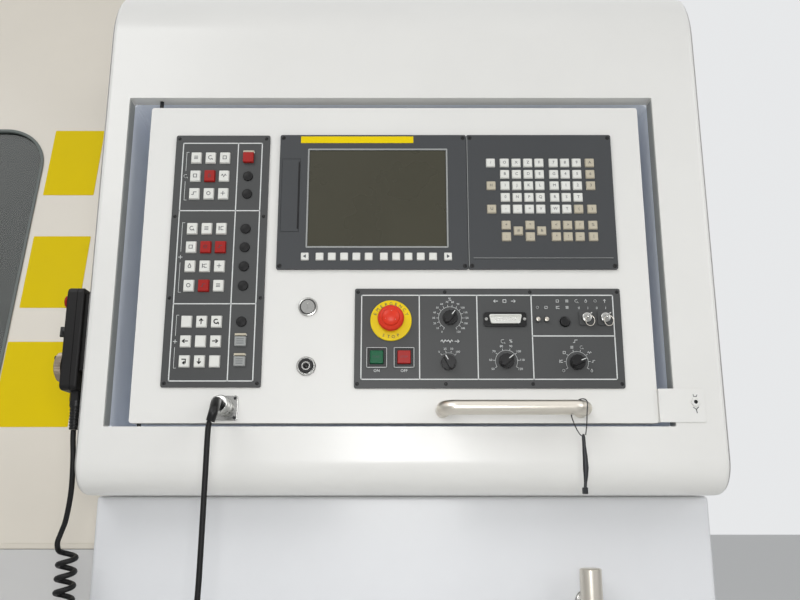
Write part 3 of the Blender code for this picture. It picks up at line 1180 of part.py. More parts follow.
def tower_handle():
    """Vertical round bar on two posts, with closed ends."""
    axis = Vector((TOWER_HANDLE_X, TOWER_FACE - TOWER_HANDLE_PROUD, TOWER_HANDLE_LOW))
    length = TOWER_HANDLE_HIGH - TOWER_HANDLE_LOW
    edge = 0.002
    profile = [(0, length), (TOWER_HANDLE_RADIUS - edge, length), (TOWER_HANDLE_RADIUS, length - edge),
               (TOWER_HANDLE_RADIUS, edge), (TOWER_HANDLE_RADIUS - edge, 0), (0, 0)]
    handle = turned("tower_handle", profile, axis, (0, 0, 1), 20)
    posts = [cylinder("handle_post", (axis.x, axis.y, height), (0, 1, 0), TOWER_HANDLE_PROUD - GAP,
                      POST_RADIUS, 16)
             for height in (TOWER_HANDLE_LOW + 0.05, TOWER_HANDLE_HIGH - 0.05)]
    fuse(handle, gather("handle_posts", posts))
    paint(handle, SATIN, 0.35, 0.9)


def coolant_tank():
    floor = BASE_BOTTOM + TUNNEL_FLOOR + GAP
    tank = block("coolant_tank", (TANK_LEFT, TANK_FRONT, floor),
                 (TANK_RIGHT, TANK_BACK, floor + TANK_HEIGHT - SLACK))
    round_edges(tank, 0.006, 2)
    middle = (TANK_LEFT + TANK_RIGHT) / 2
    level = floor + TANK_HEIGHT / 2
    grip = [(middle - 0.12, TANK_FRONT + SINK, level), (middle - 0.12, TANK_FRONT - 0.04, level),
            (middle + 0.12, TANK_FRONT - 0.04, level), (middle + 0.12, TANK_FRONT + SINK, level)]
    fuse(tank, tube("tank_grip", bent(grip, 0.015, 3), 0.007, 2))
    paint(tank, COOL_WHITE, 0.5)


# Left, bottom, width, height and depth of each module, from the cabinet's lower left corner
MODULES = [(0.08, 0.10, 0.95, 0.20, 0.14), (0.08, 0.36, 0.95, 0.10, 0.08), (0.08, 0.60, 0.20, 0.24, 0.10),
           (0.33, 0.60, 0.16, 0.32, 0.16), (0.55, 0.60, 0.16, 0.32, 0.16), (0.77, 0.60, 0.16, 0.32, 0.16),
           (0.10, 1.00, 0.30, 0.34, 0.17), (0.48, 1.06, 0.58, 0.22, 0.12)]


def electrical_cabinet():
    """Wall cabinet on the machine's back with its drive and relay modules on the rear plate."""
    front = REAR + GAP
    cabinet = front_slab("electrical_cabinet", rectangle(CABINET_LEFT, CABINET_BOTTOM, CABINET_WIDTH,
                                                         CABINET_HEIGHT), front, CABINET_BACK)
    hollow = rectangle(CABINET_LEFT + SHEET, CABINET_BOTTOM + SHEET, CABINET_WIDTH - 2 * SHEET,
                       CABINET_HEIGHT - 2 * SHEET)
    cut(cabinet, front_slab("cabinet_hollow", hollow, front + SHEET, CABINET_BACK + SLACK))
    modules = [block("module", (CABINET_LEFT + left, front + SHEET - SINK, CABINET_BOTTOM + low),
                     (CABINET_LEFT + left + width, front + SHEET + depth, CABINET_BOTTOM + low + height))
               for left, low, width, height, depth in MODULES]
    fuse(cabinet, gather("modules", modules))
    paint(cabinet, COOL_WHITE, 0.4)


KNUCKLE_RADIUS = 0.006
CABINET_HINGE = (CABINET_LEFT - 0.004, CABINET_BACK + GAP + KNUCKLE_RADIUS + GAP)


def electrical_door():
    front, back = CABINET_BACK + GAP, CABINET_BACK + GAP + CABINET_DOOR
    door = front_slab("electrical_door", rectangle(CABINET_LEFT, CABINET_BOTTOM, CABINET_WIDTH,
                                                   CABINET_HEIGHT),
                      front, back)
    hollow = rectangle(CABINET_LEFT + SHEET, CABINET_BOTTOM + SHEET, CABINET_WIDTH - 2 * SHEET,
                       CABINET_HEIGHT - 2 * SHEET)
    cut(door, front_slab("electrical_door_hollow", hollow, front - SLACK, back - SHEET))
    knuckles = [cylinder("knuckle", (*CABINET_HINGE, CABINET_BOTTOM + low), (0, 0, 1), 0.08, KNUCKLE_RADIUS,
                         12)
                for low in (0.15, CABINET_HEIGHT - 0.23)]
    fuse(door, gather("knuckles", knuckles))
    paint(door, COOL_WHITE, 0.4)


# Joint axes
def carry(name, location, *children):
    """Empty on a joint's axis that carries the pieces moving about it."""
    pivot = place(bpy.data.objects.new(name, None))
    pivot.location = location
    pivot.empty_display_size = 0.05
    bpy.context.view_layer.update()
    for child in children:
        obj = bpy.data.objects[child]
        obj.parent = pivot
        obj.matrix_parent_inverse = pivot.matrix_world.inverted()


def hang_on_joints():
    carry("panel_hinge", (*PIVOT, PANEL_BOTTOM), "control_panel", "panel_handle", "key_tag", "lock_tab",
          "lock_cam", "display_unit", "display_glass", "keyboard_unit", "switch_plate", "alarm_lamp",
          "operator_plate", "estop_collar", "estop_button", "start_button", "stop_button", "check_button",
          "serial_port", "panel_lock", "round_socket", "cord_socket", "cord_plug", *KNOB_AT, *KEY_SWITCH_AT)
    carry("door_slide", (DOOR_RIGHT, APRON_FACE, BREAK), "front_door", "door_window", "door_handle")
    carry("spindle_axis", axis_point(CHUCK_LEFT), "spindle", "chuck", "chuck_jaw_1", "chuck_jaw_2",
          "chuck_jaw_3")
    carry("saddle_slide", axis_point(SADDLE_LEFT), "saddle", "cross_slide")
    carry("turret_axis", BED_AXIS @ Vector((SADDLE_LEFT, TURRET_AT, 0)), "turret_disc")
    carry("tailstock_slide", axis_point(TAILSTOCK_LEFT), "tailstock", "quill")
    carry("tank_slide", (0, TANK_FRONT, BASE_BOTTOM), "coolant_tank")
    carry("cabinet_hinge", (*CABINET_HINGE, CABINET_BOTTOM), "electrical_door")


def main():
    start_scene()
    console_housing()
    recess_liner()
    control_panel()
    display_unit()
    display_glass()
    keyboard_unit()
    switch_plate()
    alarm_lamp()
    operator_plate()
    estop_collar()
    estop_button()
    push_buttons()
    for name, (left, up, turn) in KNOB_AT.items():
        knob(name, (left, up), turn)
    serial_port()
    for name, at in KEY_SWITCH_AT.items():
        key_switch(name, at)
    panel_lock()
    round_socket()
    panel_handle()
    key_tag()
    lock_tab()
    lock_cam()
    pendant()
    connector()
    cord()
    bed_casting()
    headstock()
    spindle()
    chuck()
    chuck_jaws()
    saddle_and_turret()
    turret_disc()
    tailstock_and_quill()
    headstock_cover()
    rear_cover()
    front_apron()
    front_door()
    door_window()
    door_handle()
    tower_cabinet()
    tower_handle()
    coolant_tank()
    electrical_cabinet()
    electrical_door()
    hang_on_joints()


main()
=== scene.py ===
"""Looks of the enclosed turning lathe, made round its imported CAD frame.

Metres, +Z up, +X to the operator's right, the operator stands at -Y. Pieces on a plate are drawn in
that plate's own plane: x to the right, y up, z toward the operator, from the plate's lower left corner.
"""

import json
from math import acos, atan2, copysign, cos, pi, radians, sin, tan, tau

import bmesh
import bpy
from mathutils import Matrix, Vector

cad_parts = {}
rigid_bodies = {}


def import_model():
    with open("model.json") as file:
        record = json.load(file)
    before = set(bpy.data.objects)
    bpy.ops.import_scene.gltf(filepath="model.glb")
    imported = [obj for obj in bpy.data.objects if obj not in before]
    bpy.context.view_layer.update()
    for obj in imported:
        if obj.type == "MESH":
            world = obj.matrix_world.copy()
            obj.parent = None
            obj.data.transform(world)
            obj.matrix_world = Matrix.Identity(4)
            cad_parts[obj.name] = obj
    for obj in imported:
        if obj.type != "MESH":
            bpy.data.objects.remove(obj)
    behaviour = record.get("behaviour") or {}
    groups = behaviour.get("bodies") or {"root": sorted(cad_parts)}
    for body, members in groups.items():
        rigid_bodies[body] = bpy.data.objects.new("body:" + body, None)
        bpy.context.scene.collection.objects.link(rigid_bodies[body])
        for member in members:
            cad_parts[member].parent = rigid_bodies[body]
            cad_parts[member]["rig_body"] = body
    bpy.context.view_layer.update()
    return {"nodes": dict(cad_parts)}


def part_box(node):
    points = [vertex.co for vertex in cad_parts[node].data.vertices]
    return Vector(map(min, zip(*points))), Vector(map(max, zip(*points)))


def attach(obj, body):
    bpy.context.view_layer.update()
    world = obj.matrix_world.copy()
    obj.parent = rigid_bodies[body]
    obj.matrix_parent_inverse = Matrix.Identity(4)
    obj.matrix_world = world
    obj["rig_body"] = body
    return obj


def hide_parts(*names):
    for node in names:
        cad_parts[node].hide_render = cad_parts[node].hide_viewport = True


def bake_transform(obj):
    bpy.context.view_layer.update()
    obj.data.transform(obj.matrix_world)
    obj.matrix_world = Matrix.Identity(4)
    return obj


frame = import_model()

bl_info = {
    "name": "Turning lathe looks",
    "version": (1, 0, 0),
    "blender": (4, 5, 0),
    "location": "View3D > Sidebar > Lathe",
    "description": "Dresses the CAD frame of an enclosed turning lathe",
    "category": "Add Mesh",
}


def shift(x, y, z):
    return Matrix.Translation((x, y, z))


def spin(degrees, axis="Z"):
    return Matrix.Rotation(radians(degrees), 4, axis)


# Drawing planes
FRONT = Matrix(((1, 0, 0, 0), (0, 0, -1, 0), (0, 1, 0, 0), (0, 0, 0, 1)))
SIDE = Matrix(((0, 0, 1, 0), (1, 0, 0, 0), (0, 1, 0, 0), (0, 0, 0, 1)))
BACK = Matrix(((-1, 0, 0, 0), (0, 0, 1, 0), (0, 1, 0, 0), (0, 0, 0, 1)))
LEFTWARD = Matrix(((0, 0, -1, 0), (-1, 0, 0, 0), (0, 1, 0, 0), (0, 0, 0, 1)))
PANEL_CORNER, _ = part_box("control_panel")
PANEL = Matrix.Translation(PANEL_CORNER) @ FRONT
PLATE_FACE, UNIT_FACE = 0.0033, 0.0053  # heights of the plates' and the units' faces over the panel
SWITCHES = PANEL @ shift(0.0435, 0.052, PLATE_FACE)
OPERATOR = PANEL @ shift(0.3285, 0.0505, PLATE_FACE)
DISPLAY = PANEL @ shift(0.208, 0.232, UNIT_FACE)
KEYBOARD = PANEL @ shift(0.5008, 0.232, UNIT_FACE)
SPINDLE = shift(0, -0.08, 1.1)
BED = SPINDLE @ spin(45, "X") @ SIDE
DOOR_LEAN = radians(11)
DOOR = shift(0, -0.612, 1.008) @ Matrix.Rotation(radians(90) - DOOR_LEAN, 4, "X")

SWITCH_COLUMNS = (0.0336, 0.056, 0.0784)
SWITCH_ROWS = (0.0386, 0.0687, 0.0987, 0.1543, 0.1848, 0.2151, 0.2448, 0.3017, 0.3309, 0.3612)
LAMP_COLUMN = 0.1155
RED_SWITCHES = {(8, 1), (5, 1), (5, 2), (3, 1)}
KEY_COLUMNS = {"A": 0.0373, "B": 0.0589, "C": 0.0773, "D": 0.0955, "E": 0.1131,
               "F": 0.1354, "G": 0.1533, "H": 0.1716, "I": 0.1921}
KEY_ROWS = [(0.1723, "ABCDEFGHI", "I"), (0.1533, "BCDEFGHI", "I"), (0.1344, "ABCDEFGHI", "AI"),
            (0.1152, "BCDEFGH", ""), (0.0961, "ABCDEFGHI", "AHI"), (0.07, "BDFGHI", "BDFGHI"),
            (0.0608, "CE", "CE"), (0.0514, "BDFGHI", "BDFGHI")]
KEY_FACES = "/OXZF789" "ABCDEG456" "HIJKLM1230" "NPQRSTU-.=" "VWY()+*<>?" "%#&:;^!~|$@[]" "0123456789"
KNOBS = {"feed_knob": (0.143, 0.106, 40), "rapid_knob": (0.14, 0.038, -30),
         "spindle_knob": (0.2257, 0.0405, 50), "mode_knob": (0.3305, 0.0385, 70)}

LEAD = [(1.207, -0.88, 1.1915), (1.2045, -0.88, 1.182), (1.204, -0.88, 1.12), (1.2035, -0.88, 1.04),
        (1.202, -0.879, 0.957), (1.196, -0.874, 0.86), (1.174, -0.862, 0.75), (1.133, -0.845, 0.665),
        (1.084, -0.82, 0.618), (1.04, -0.797, 0.612), (1.008, -0.78, 0.645), (0.9935, -0.771, 0.69),
        (0.9912, -0.769, 0.713), (0.9912, -0.764, 0.723), (0.9912, -0.757, 0.727)]
TAIL = [(0.9668, -0.757, 1.0122), (0.9668, -0.764, 1.0162), (0.9675, -0.769, 1.0262), (0.972, -0.77, 1.04),
        (0.9797, -0.776, 1.06), (0.988, -0.788, 1.1), (0.9893, -0.795, 1.143), (0.9865, -0.795, 1.174),
        (0.986, -0.795, 1.1867)]
COIL_AXIS = (0.979, -0.757)
SHELL_YAW, SHELL_PITCH = 16, 12
HANDLE_RISE, HANDLE_END = 0.018, 0.6605
CASE_HEIGHT = 0.156
CASE_DROP, CASE_STEP = 0.167, 0.008  # the case's foot under its solid's top, its front behind the solid's
UNIT_BOX_DEPTH = 0.0453
PUSH_BUTTONS = ((0.0335, 0.0457), (0.074, 0.0457))
STOP_BUTTON, CHECK_BUTTON = (0.0545, 0.1015), (0.3151, 0.1002)
KEY_SWITCHES = ((0.3464, 0.1051), (0.3741, 0.1051))
TOGGLES = ((0.2746, 0.1036), (0.2875, 0.1036))
SHAFT_BORE = 0.0036  # radius of the bores that the turning controls' shafts sit in
PLATE_LINE = 0.0016  # width of the lines that divide a plate
UNIT_SCREW = 0.0034  # radius of the screws of the display and the keyboard
JAW_TURNS = (90, 210, 330)
SHARP_ANGLE = radians(35)  # edges that turn more than this stay sharp
SHEET = 0.003  # thickness of the folded covers
LIFT = 0.0003  # height of the flat faces that fittings sit on
WHEEL_RISE, SELECTOR_RISE, STOP_RISE = 0.037, 0.091, 0.138


def srgb(red, green, blue):
    """Linear colour from the 0 to 255 values of a screen."""
    return tuple(((v / 255 + 0.055) / 1.055) ** 2.4 if v > 10 else v / 255 / 12.92
                 for v in (red, green, blue))


def length(label, text, default):
    return bpy.props.FloatProperty(name=label, description=text, default=default, min=0.0, unit="LENGTH",
                                   precision=4)


def colour(label, text, red, green, blue):
    return bpy.props.FloatVectorProperty(name=label, description=text, default=srgb(red, green, blue),
                                         subtype="COLOR", min=0.0, max=1.0)


class LatheSizes(bpy.types.PropertyGroup):
    cord_radius: length("Cord radius", "Half the thickness of the pendant's cord", 0.004)
    coil_radius: length("Coil radius", "Radius of the coiled stretch at the middle of its wire", 0.0122)
    coil_turns: bpy.props.IntProperty(name="Coil turns", description="Whole turns in the coiled stretch",
                                      default=14)
    mark_rise: length("Mark rise", "How far printed marks stand out of a plate", 0.00015)
    cap_crown: length("Key crown", "How far a key's top is set in from its foot", 0.0011)
    screw_radius: length("Screw radius", "Radius of the plates' countersunk screw heads", 0.0028)
    sheet_edge: length("Sheet edge", "Rounding of the folded covers' edges", 0.0022)
    cast_edge: length("Casting edge", "Rounding of the castings' edges", 0.005)
    lip_edge: length("Opening edge", "Rounding of the console opening's rim", 0.0015)
    gasket: length("Gasket width", "Width of the rubber round the door's window", 0.003)


class LatheColours(bpy.types.PropertyGroup):
    console: colour("Console", "Light enamel of the console and panel", 226, 225, 221)
    tower: colour("Lower covers", "Cool light enamel of the lower covers", 222, 223, 225)
    door: colour("Door", "Warm light enamel of the door", 218, 211, 198)
    apron: colour("Apron", "Neutral grey enamel of the apron", 204, 203, 201)
    # set far lighter than the recess's own blue grey, with a faint glow in its finish: painted light for the
    # light that bounces about inside the shaded recess
    recess: colour("Recess", "Blue grey enamel behind the panel", 238, 243, 253)
    plate: colour("Plates", "Dark grey of the control plates", 68, 69, 69)
    bezel: colour("Display surround", "Darker grey of the display and keyboard", 62, 64, 66)
    ink: colour("Printed lines", "Off-white ink on the plates", 214, 216, 214)
    dark_ink: colour("Key marks", "Dark ink on the light keys", 78, 80, 84)
    key: colour("Keys", "Off-white keys", 220, 220, 214)
    beige: colour("Beige keys", "Warm grey keys", 186, 178, 158)
    red: colour("Red", "Red keys, lamps and buttons", 156, 24, 18)
    mushroom: colour("Emergency stop", "Orange red of the stop head", 214, 52, 26)
    green: colour("Green", "Start button", 2, 88, 54)
    yellow: colour("Yellow", "Stop collar and plates", 232, 204, 8)
    black: colour("Black", "Knobs, boots and the cord", 12, 12, 13)
    case: colour("Pendant", "Housing of the handheld unit", 20, 19, 19)
    gasket: colour("Rubber", "Grey rubber round the window", 100, 107, 104)
    # also the tone of the painted shade strips inside the console's opening
    lamp: colour("Lamps", "Grey lamp caps and thin frames", 148, 150, 148)
    tool: colour("Tool", "Blackened tool and screws", 44, 45, 47)
    screen: colour("Screen", "Unlit display", 60, 58, 44)
    satin: colour("Satin metal", "Anodised handles", 217, 211, 200)
    wheel: colour("Wheel rim", "Bronze tinted rim of the handheld unit's wheel", 150, 138, 122)
    bright: colour("Bright metal", "Plated locks and connectors", 186, 186, 183)
    steel: colour("Machined steel", "Ground and turned steel", 172, 175, 178)
    casting: colour("Castings", "Painted cast iron", 196, 200, 203)
    pane: colour("Window", "Tinted pane of the door", 120, 128, 124)
    floor: colour("Floor", "Workshop floor of the stage", 246, 246, 244)


# Finishes: colour, roughness, metal, cloud of colour, grain pitch in 1/m, grain depth, slot
FINISHES = {
    "console_enamel": ("console", 0.33, 0.0, 0.018, 420, 0.00005, "white_paint"),
    "panel_enamel": ("console", 0.42, 0.0, 0.015, 900, 0.00004, "white_paint"),
    "tower_enamel": ("tower", 0.36, 0.0, 0.018, 420, 0.00005, "cool_paint"),
    "door_enamel": ("door", 0.38, 0.0, 0.02, 420, 0.00005, "warm_paint"),
    "apron_enamel": ("apron", 0.42, 0.0, 0.02, 420, 0.00005, "cool_paint"),
    "recess_enamel": ("recess", 0.5, 0.0, 0.05, 420, 0.00005, "recess_paint"),
    "plate_plastic": ("plate", 0.46, 0.0, 0.05, 2600, 0.00004, "dark_plastic"),
    "bezel_plastic": ("bezel", 0.5, 0.0, 0.05, 2200, 0.00005, "dark_plastic"),
    "white_ink": ("ink", 0.55, 0.0, 0.03, 3000, 0.00001, "dark_plastic"),
    "dark_ink": ("dark_ink", 0.6, 0.0, 0.03, 3000, 0.00001, "dark_plastic"),
    "key_plastic": ("key", 0.42, 0.0, 0.03, 2400, 0.00002, "dark_plastic"),
    "beige_plastic": ("beige", 0.45, 0.0, 0.04, 2400, 0.00002, "dark_plastic"),
    "red_plastic": ("red", 0.38, 0.0, 0.06, 1800, 0.00002, "red_plastic"),
    "stop_plastic": ("mushroom", 0.34, 0.0, 0.04, 1800, 0.00002, "red_plastic"),
    "green_plastic": ("green", 0.3, 0.0, 0.06, 1800, 0.00002, "green_plastic"),
    "yellow_plastic": ("yellow", 0.4, 0.0, 0.03, 1500, 0.00002, "yellow_plastic"),
    "yellow_film": ("yellow", 0.62, 0.0, 0.025, 300, 0.00002, "yellow_plastic"),
    "black_plastic": ("black", 0.34, 0.0, 0.12, 2000, 0.00003, "black_plastic"),
    "cord_rubber": ("black", 0.5, 0.0, 0.15, 1500, 0.00004, "cord_rubber"),
    "gasket_rubber": ("gasket", 0.6, 0.0, 0.08, 900, 0.00006, "cord_rubber"),
    "pendant_plastic": ("case", 0.45, 0.0, 0.1, 1500, 0.00005, "black_plastic"),
    "lamp_grey": ("lamp", 0.4, 0.0, 0.05, 2000, 0.00002, "dark_plastic"),
    # thin frames, and also the painted shade strips inside the console's opening
    "frame_grey": ("lamp", 0.5, 0.0, 0.04, 2000, 0.00001, "dark_plastic"),
    "tool_black": ("tool", 0.35, 0.6, 0.1, 1200, 0.00002, "black_plastic"),
    "screen_film": ("screen", 0.28, 0.0, 0.05, 1400, 0.00001, "screen_glass"),
    "satin_metal": ("satin", 0.32, 1.0, 0.04, 700, 0.00002, "satin_metal"),
    "wheel_metal": ("wheel", 0.45, 0.8, 0.06, 900, 0.00002, "satin_metal"),
    "bright_metal": ("bright", 0.2, 1.0, 0.04, 900, 0.00001, "bright_metal"),
    "turned_steel": ("steel", 0.27, 1.0, 0.05, 1500, 0.00002, "machined_steel"),
    "ground_steel": ("steel", 0.3, 1.0, 0.05, 1400, 0.00002, "machined_steel"),
    "cast_enamel": ("casting", 0.45, 0.0, 0.04, 130, 0.0003, "cast_paint"),
    "glass_pane": ("pane", 0.06, 0.0, 0.02, 30, 0.00002, "window_glass"),
}

# How the grain is drawn out, where it isn't even
STRETCH = {"satin_metal": (0.05, 1, 1), "turned_steel": (1, 0.06, 0.06), "ground_steel": (0.05, 1, 1)}

# Share of reflection at a glance, where it isn't the usual half
SHEEN = {"yellow_film": 0.12, "yellow_plastic": 0.25, "red_plastic": 0.3, "stop_plastic": 0.3,
         "green_plastic": 0.25, "plate_plastic": 0.35, "bezel_plastic": 0.35, "black_plastic": 0.35,
         "pendant_plastic": 0.25, "cord_rubber": 0.3, "dark_ink": 0.2, "recess_enamel": 0.3,
         "screen_film": 0.4}

CLOUD_RANGE = (0.3, 0.7)  # stretch of the cloud noise that the tones and the roughness run over


def finish(name):
    """Procedural material of a finish, made on first use."""
    label = "lathe_" + name  # the frame's own materials have some of the plain names
    if label in bpy.data.materials:
        return bpy.data.materials[label]
    tone, roughness, metal, cloud, grain, depth, _ = FINISHES[name]
    material = bpy.data.materials.new(label)
    material.use_nodes = True
    tree = material.node_tree
    shader = tree.nodes["Principled BSDF"]
    base = getattr(bpy.context.scene.lathe_colours, tone)

    def add(kind, **settings):
        node = tree.nodes.new(kind)
        for key, value in settings.items():
            node.inputs[key].default_value = value
        return node

    def wire(start, output, end, target):
        tree.links.new(start.outputs[output], end.inputs[target])

    place = add("ShaderNodeTexCoord")
    turn = add("ShaderNodeMapping", Scale=STRETCH.get(name, (1, 1, 1)))
    clouds = add("ShaderNodeTexNoise", Scale=5.0, Detail=4.0, Roughness=0.6)
    grains = add("ShaderNodeTexNoise", Scale=grain, Detail=2.0)
    tint = tree.nodes.new("ShaderNodeValToRGB")
    for stop, position, share in zip(tint.color_ramp.elements, CLOUD_RANGE, (1 - cloud, 1 + cloud)):
        stop.position, stop.color = position, (*[min(1.0, v * share) for v in base], 1)
    sheen = add("ShaderNodeMapRange", **{"From Min": CLOUD_RANGE[0], "From Max": CLOUD_RANGE[1],
                                         "To Min": roughness * 0.88, "To Max": min(1.0, roughness * 1.12)})
    bump = add("ShaderNodeBump", Strength=0.6, Distance=depth)
    wire(place, "Object", turn, "Vector")
    wire(place, "Object", clouds, "Vector")
    wire(turn, "Vector", grains, "Vector")
    wire(clouds, "Fac", tint, "Fac")
    wire(tint, "Color", shader, "Base Color")
    wire(clouds, "Fac", sheen, "Value")
    wire(sheen, "Result", shader, "Roughness")
    wire(grains, "Fac", bump, "Height")
    wire(bump, "Normal", shader, "Normal")
    shader.inputs["Metallic"].default_value = metal
    shader.inputs["Specular IOR Level"].default_value = SHEEN.get(name, 0.5)
    if name == "recess_enamel":  # a little light of its own, for what bounces about inside the recess
        shader.inputs["Emission Color"].default_value = (0.75, 0.84, 1.0, 1)
        shader.inputs["Emission Strength"].default_value = 0.04
    if name == "glass_pane":
        shader.inputs["Transmission Weight"].default_value = 0.9
        shader.inputs["IOR"].default_value = 1.3
    if name in ("console_enamel", "tower_enamel", "door_enamel"):
        shader.inputs["Coat Weight"].default_value = 0.25
        shader.inputs["Coat Roughness"].default_value = 0.15
    return material


# Outlines
def rectangle(x, y, width, height, radius=0.0, steps=5):
    """Outline from its lower left corner."""
    return rounded([(x, y), (x + width, y), (x + width, y + height), (x, y + height)], [radius] * 4, steps)


def rounded(corners, radii, steps=5):
    """Outline with each corner rounded to its own radius."""
    line = []
    for k, radius in enumerate(radii):
        corner = Vector(corners[k])
        if radius <= 0:
            line.append(corner)
            continue
        back = (Vector(corners[k - 1]) - corner).normalized()
        ahead = (Vector(corners[(k + 1) % len(corners)]) - corner).normalized()
        half = acos(max(-1.0, min(1.0, back.dot(ahead)))) / 2
        centre = corner + (back + ahead).normalized() * (radius / sin(half))
        start = corner + back * (radius / tan(half)) - centre
        end = corner + ahead * (radius / tan(half)) - centre
        first = atan2(start.y, start.x)
        swing = (atan2(end.y, end.x) - first + pi) % tau - pi
        for step in range(steps + 1):
            angle = first + swing * step / steps
            line.append(centre + radius * Vector((cos(angle), sin(angle))))
    return line


def circle(x, y, radius, steps=24):
    return [(x + radius * cos(tau * k / steps), y + radius * sin(tau * k / steps)) for k in range(steps)]


def wavy(radius, depth, waves, steps):
    """Circle about the origin with waves in its rim."""
    line = []
    for k in range(steps):
        angle = tau * k / steps
        reach = radius + depth * cos(waves * angle)
        line.append((reach * cos(angle), reach * sin(angle)))
    return line


def bent(points, radius, steps=8):
    """Line in space with its inner corners bent to a radius."""
    line = [Vector(points[0])]
    for before, corner, after in zip(points, points[1:], points[2:]):
        corner = Vector(corner)
        back = (Vector(before) - corner).normalized()
        ahead = (Vector(after) - corner).normalized()
        half = back.angle(ahead) / 2
        centre = corner + (back + ahead).normalized() * (radius / sin(half))
        start = (corner + back * (radius / tan(half)) - centre).normalized()
        end = (corner + ahead * (radius / tan(half)) - centre).normalized()
        line += [centre + start.slerp(end, step / steps) * radius for step in range(steps + 1)]
    line.append(Vector(points[-1]))
    return line


def smooth_route(points, spacing):
    """Catmull-Rom curve through given points, sampled about evenly."""
    points = [Vector(point) for point in points]
    ends = [points[0] * 2 - points[1]] + points + [points[-1] * 2 - points[-2]]
    line = [points[0]]
    for before, start, end, after in zip(ends, ends[1:], ends[2:], ends[3:]):
        steps = max(1, round((end - start).length / spacing))
        for step in range(1, steps + 1):
            t = step / steps
            bend = (start * 2 + (end - before) * t + (before * 2 - start * 5 + end * 4 - after) * t ** 2
                    + (start * 3 - before - end * 3 + after) * t ** 3)
            line.append(bend / 2)
    return line


class Shape:
    """One piece's mesh while it is being made."""

    def __init__(self):
        self.bm = bmesh.new()

    def prism(self, outline, plane, low, high, bevel=0.0, segments=2):
        """Flat outline thickened from low to high, its front rim rounded by the bevel."""
        back = [self.bm.verts.new(plane @ Vector((x, y, low))) for x, y in outline]
        front = [self.bm.verts.new(plane @ Vector((x, y, high))) for x, y in outline]
        self.bm.faces.new(front)
        self.bm.faces.new(back[::-1])
        rim = []
        for k in range(len(outline)):
            n = (k + 1) % len(outline)
            self.bm.faces.new((back[k], back[n], front[n], front[k]))
            rim.append(self.bm.edges.get((front[k], front[n])))
        if bevel:
            bmesh.ops.bevel(self.bm, geom=rim, offset=bevel, segments=segments, affect="EDGES",
                            profile=0.5, clamp_overlap=True)
        return self

    def tile(self, x, y, width, height, plane, low, high, bevel=0.0, corner=0.0):
        """Rectangular block about a centre."""
        outline = rectangle(x - width / 2, y - height / 2, width, height, corner, 3)
        return self.prism(outline, plane, low, high, bevel)

    def turn(self, profile, plane, steps=40, ring=False):
        """Turned piece: (radius, height) pairs from the top down, about the plane's own z axis."""
        rows = []
        for radius, height in profile:
            count = 1 if radius < 1e-7 else steps
            rows.append([self.bm.verts.new(plane @ Vector((radius * cos(tau * k / steps),
                                                           radius * sin(tau * k / steps), height)))
                         for k in range(count)])
        pairs = list(zip(rows, rows[1:])) + ([(rows[-1], rows[0])] if ring else [])
        for upper, lower in pairs:
            for k in range(steps):
                n = (k + 1) % steps
                if len(upper) == 1 and len(lower) == 1:
                    continue
                if len(upper) == 1:
                    self.bm.faces.new((upper[0], lower[k], lower[n]))
                elif len(lower) == 1:
                    self.bm.faces.new((upper[k], lower[0], upper[n]))
                else:
                    self.bm.faces.new((upper[k], lower[k], lower[n], upper[n]))
        return self

    def sweep(self, points, radii, sides=12):
        """Round bar along a line of points, with one radius or one for each point."""
        points = [Vector(point) for point in points]
        if isinstance(radii, float):
            radii = [radii] * len(points)
        side, rings = None, []
        for k, point in enumerate(points):
            tangent = (points[min(k + 1, len(points) - 1)] - points[max(k - 1, 0)]).normalized()
            side = tangent.orthogonal() if side is None else side - tangent * side.dot(tangent)
            side.normalize()
            other = tangent.cross(side)
            rings.append([self.bm.verts.new(point + radii[k] * (side * cos(tau * j / sides)
                                                                + other * sin(tau * j / sides)))
                          for j in range(sides)])
        for near, far in zip(rings, rings[1:]):
            for j in range(sides):
                n = (j + 1) % sides
                self.bm.faces.new((near[j], near[n], far[n], far[j]))
        self.bm.faces.new(rings[0][::-1])
        self.bm.faces.new(rings[-1])
        return self

    def band(self, outer, inner, plane, low, high):
        """Flat ring between two outlines with as many points."""
        rows = [[self.bm.verts.new(plane @ Vector((x, y, z))) for x, y in line]
                for line, z in ((outer, low), (outer, high), (inner, high), (inner, low))]
        for here, there in zip(rows, rows[1:] + rows[:1]):
            for k in range(len(outer)):
                n = (k + 1) % len(outer)
                self.bm.faces.new((here[k], here[n], there[n], there[k]))
        return self

    def stroke(self, points, width, plane, rise, base=0.0):
        """Drawn line of flat bars joining points of a plane."""
        for (x0, y0), (x1, y1) in zip(points, points[1:]):
            along = Vector((x1 - x0, y1 - y0))
            if along.length < 1e-7:
                continue
            across = Vector((-along.y, along.x)).normalized() * width / 2
            grow = along.normalized() * width / 2
            a, b = Vector((x0, y0)) - grow, Vector((x1, y1)) + grow
            self.prism([a - across, b - across, b + across, a + across], plane, base, base + rise)
        return self

    def loop(self, outline, width, plane, rise):
        """Closed drawn line round an outline."""
        points = [tuple(point) for point in outline]
        return self.stroke(points + points[:1], width, plane, rise)

    def merge(self, mesh, place):
        """Add a copy of a mesh at a place."""
        copy = mesh.copy()
        copy.transform(place)
        self.bm.from_mesh(copy)
        bpy.data.meshes.remove(copy)
        return self

    def write(self, text, x, y, height, plane, base=0.0, turn=0.0):
        """Generic letters or figures about a centre."""
        place = plane @ shift(x, y, base) @ spin(turn) @ Matrix.Scale(height, 4)
        return self.merge(glyph(text), place)

    def icon(self, name, x, y, size, plane, rise, base=0.0, weight=0.22):
        """Small pictogram of drawn lines."""
        for points in ICONS[name]:
            self.stroke([(x + px * size / 2, y + py * size / 2) for px, py in points], size * weight / 2,
                        plane, rise, base)
        return self


def arc_points(start, end, radius=0.8, steps=7):
    """Points of an arc about the origin, from one angle in degrees to another."""
    return [(radius * cos(radians(start + (end - start) * k / steps)),
             radius * sin(radians(start + (end - start) * k / steps))) for k in range(steps + 1)]


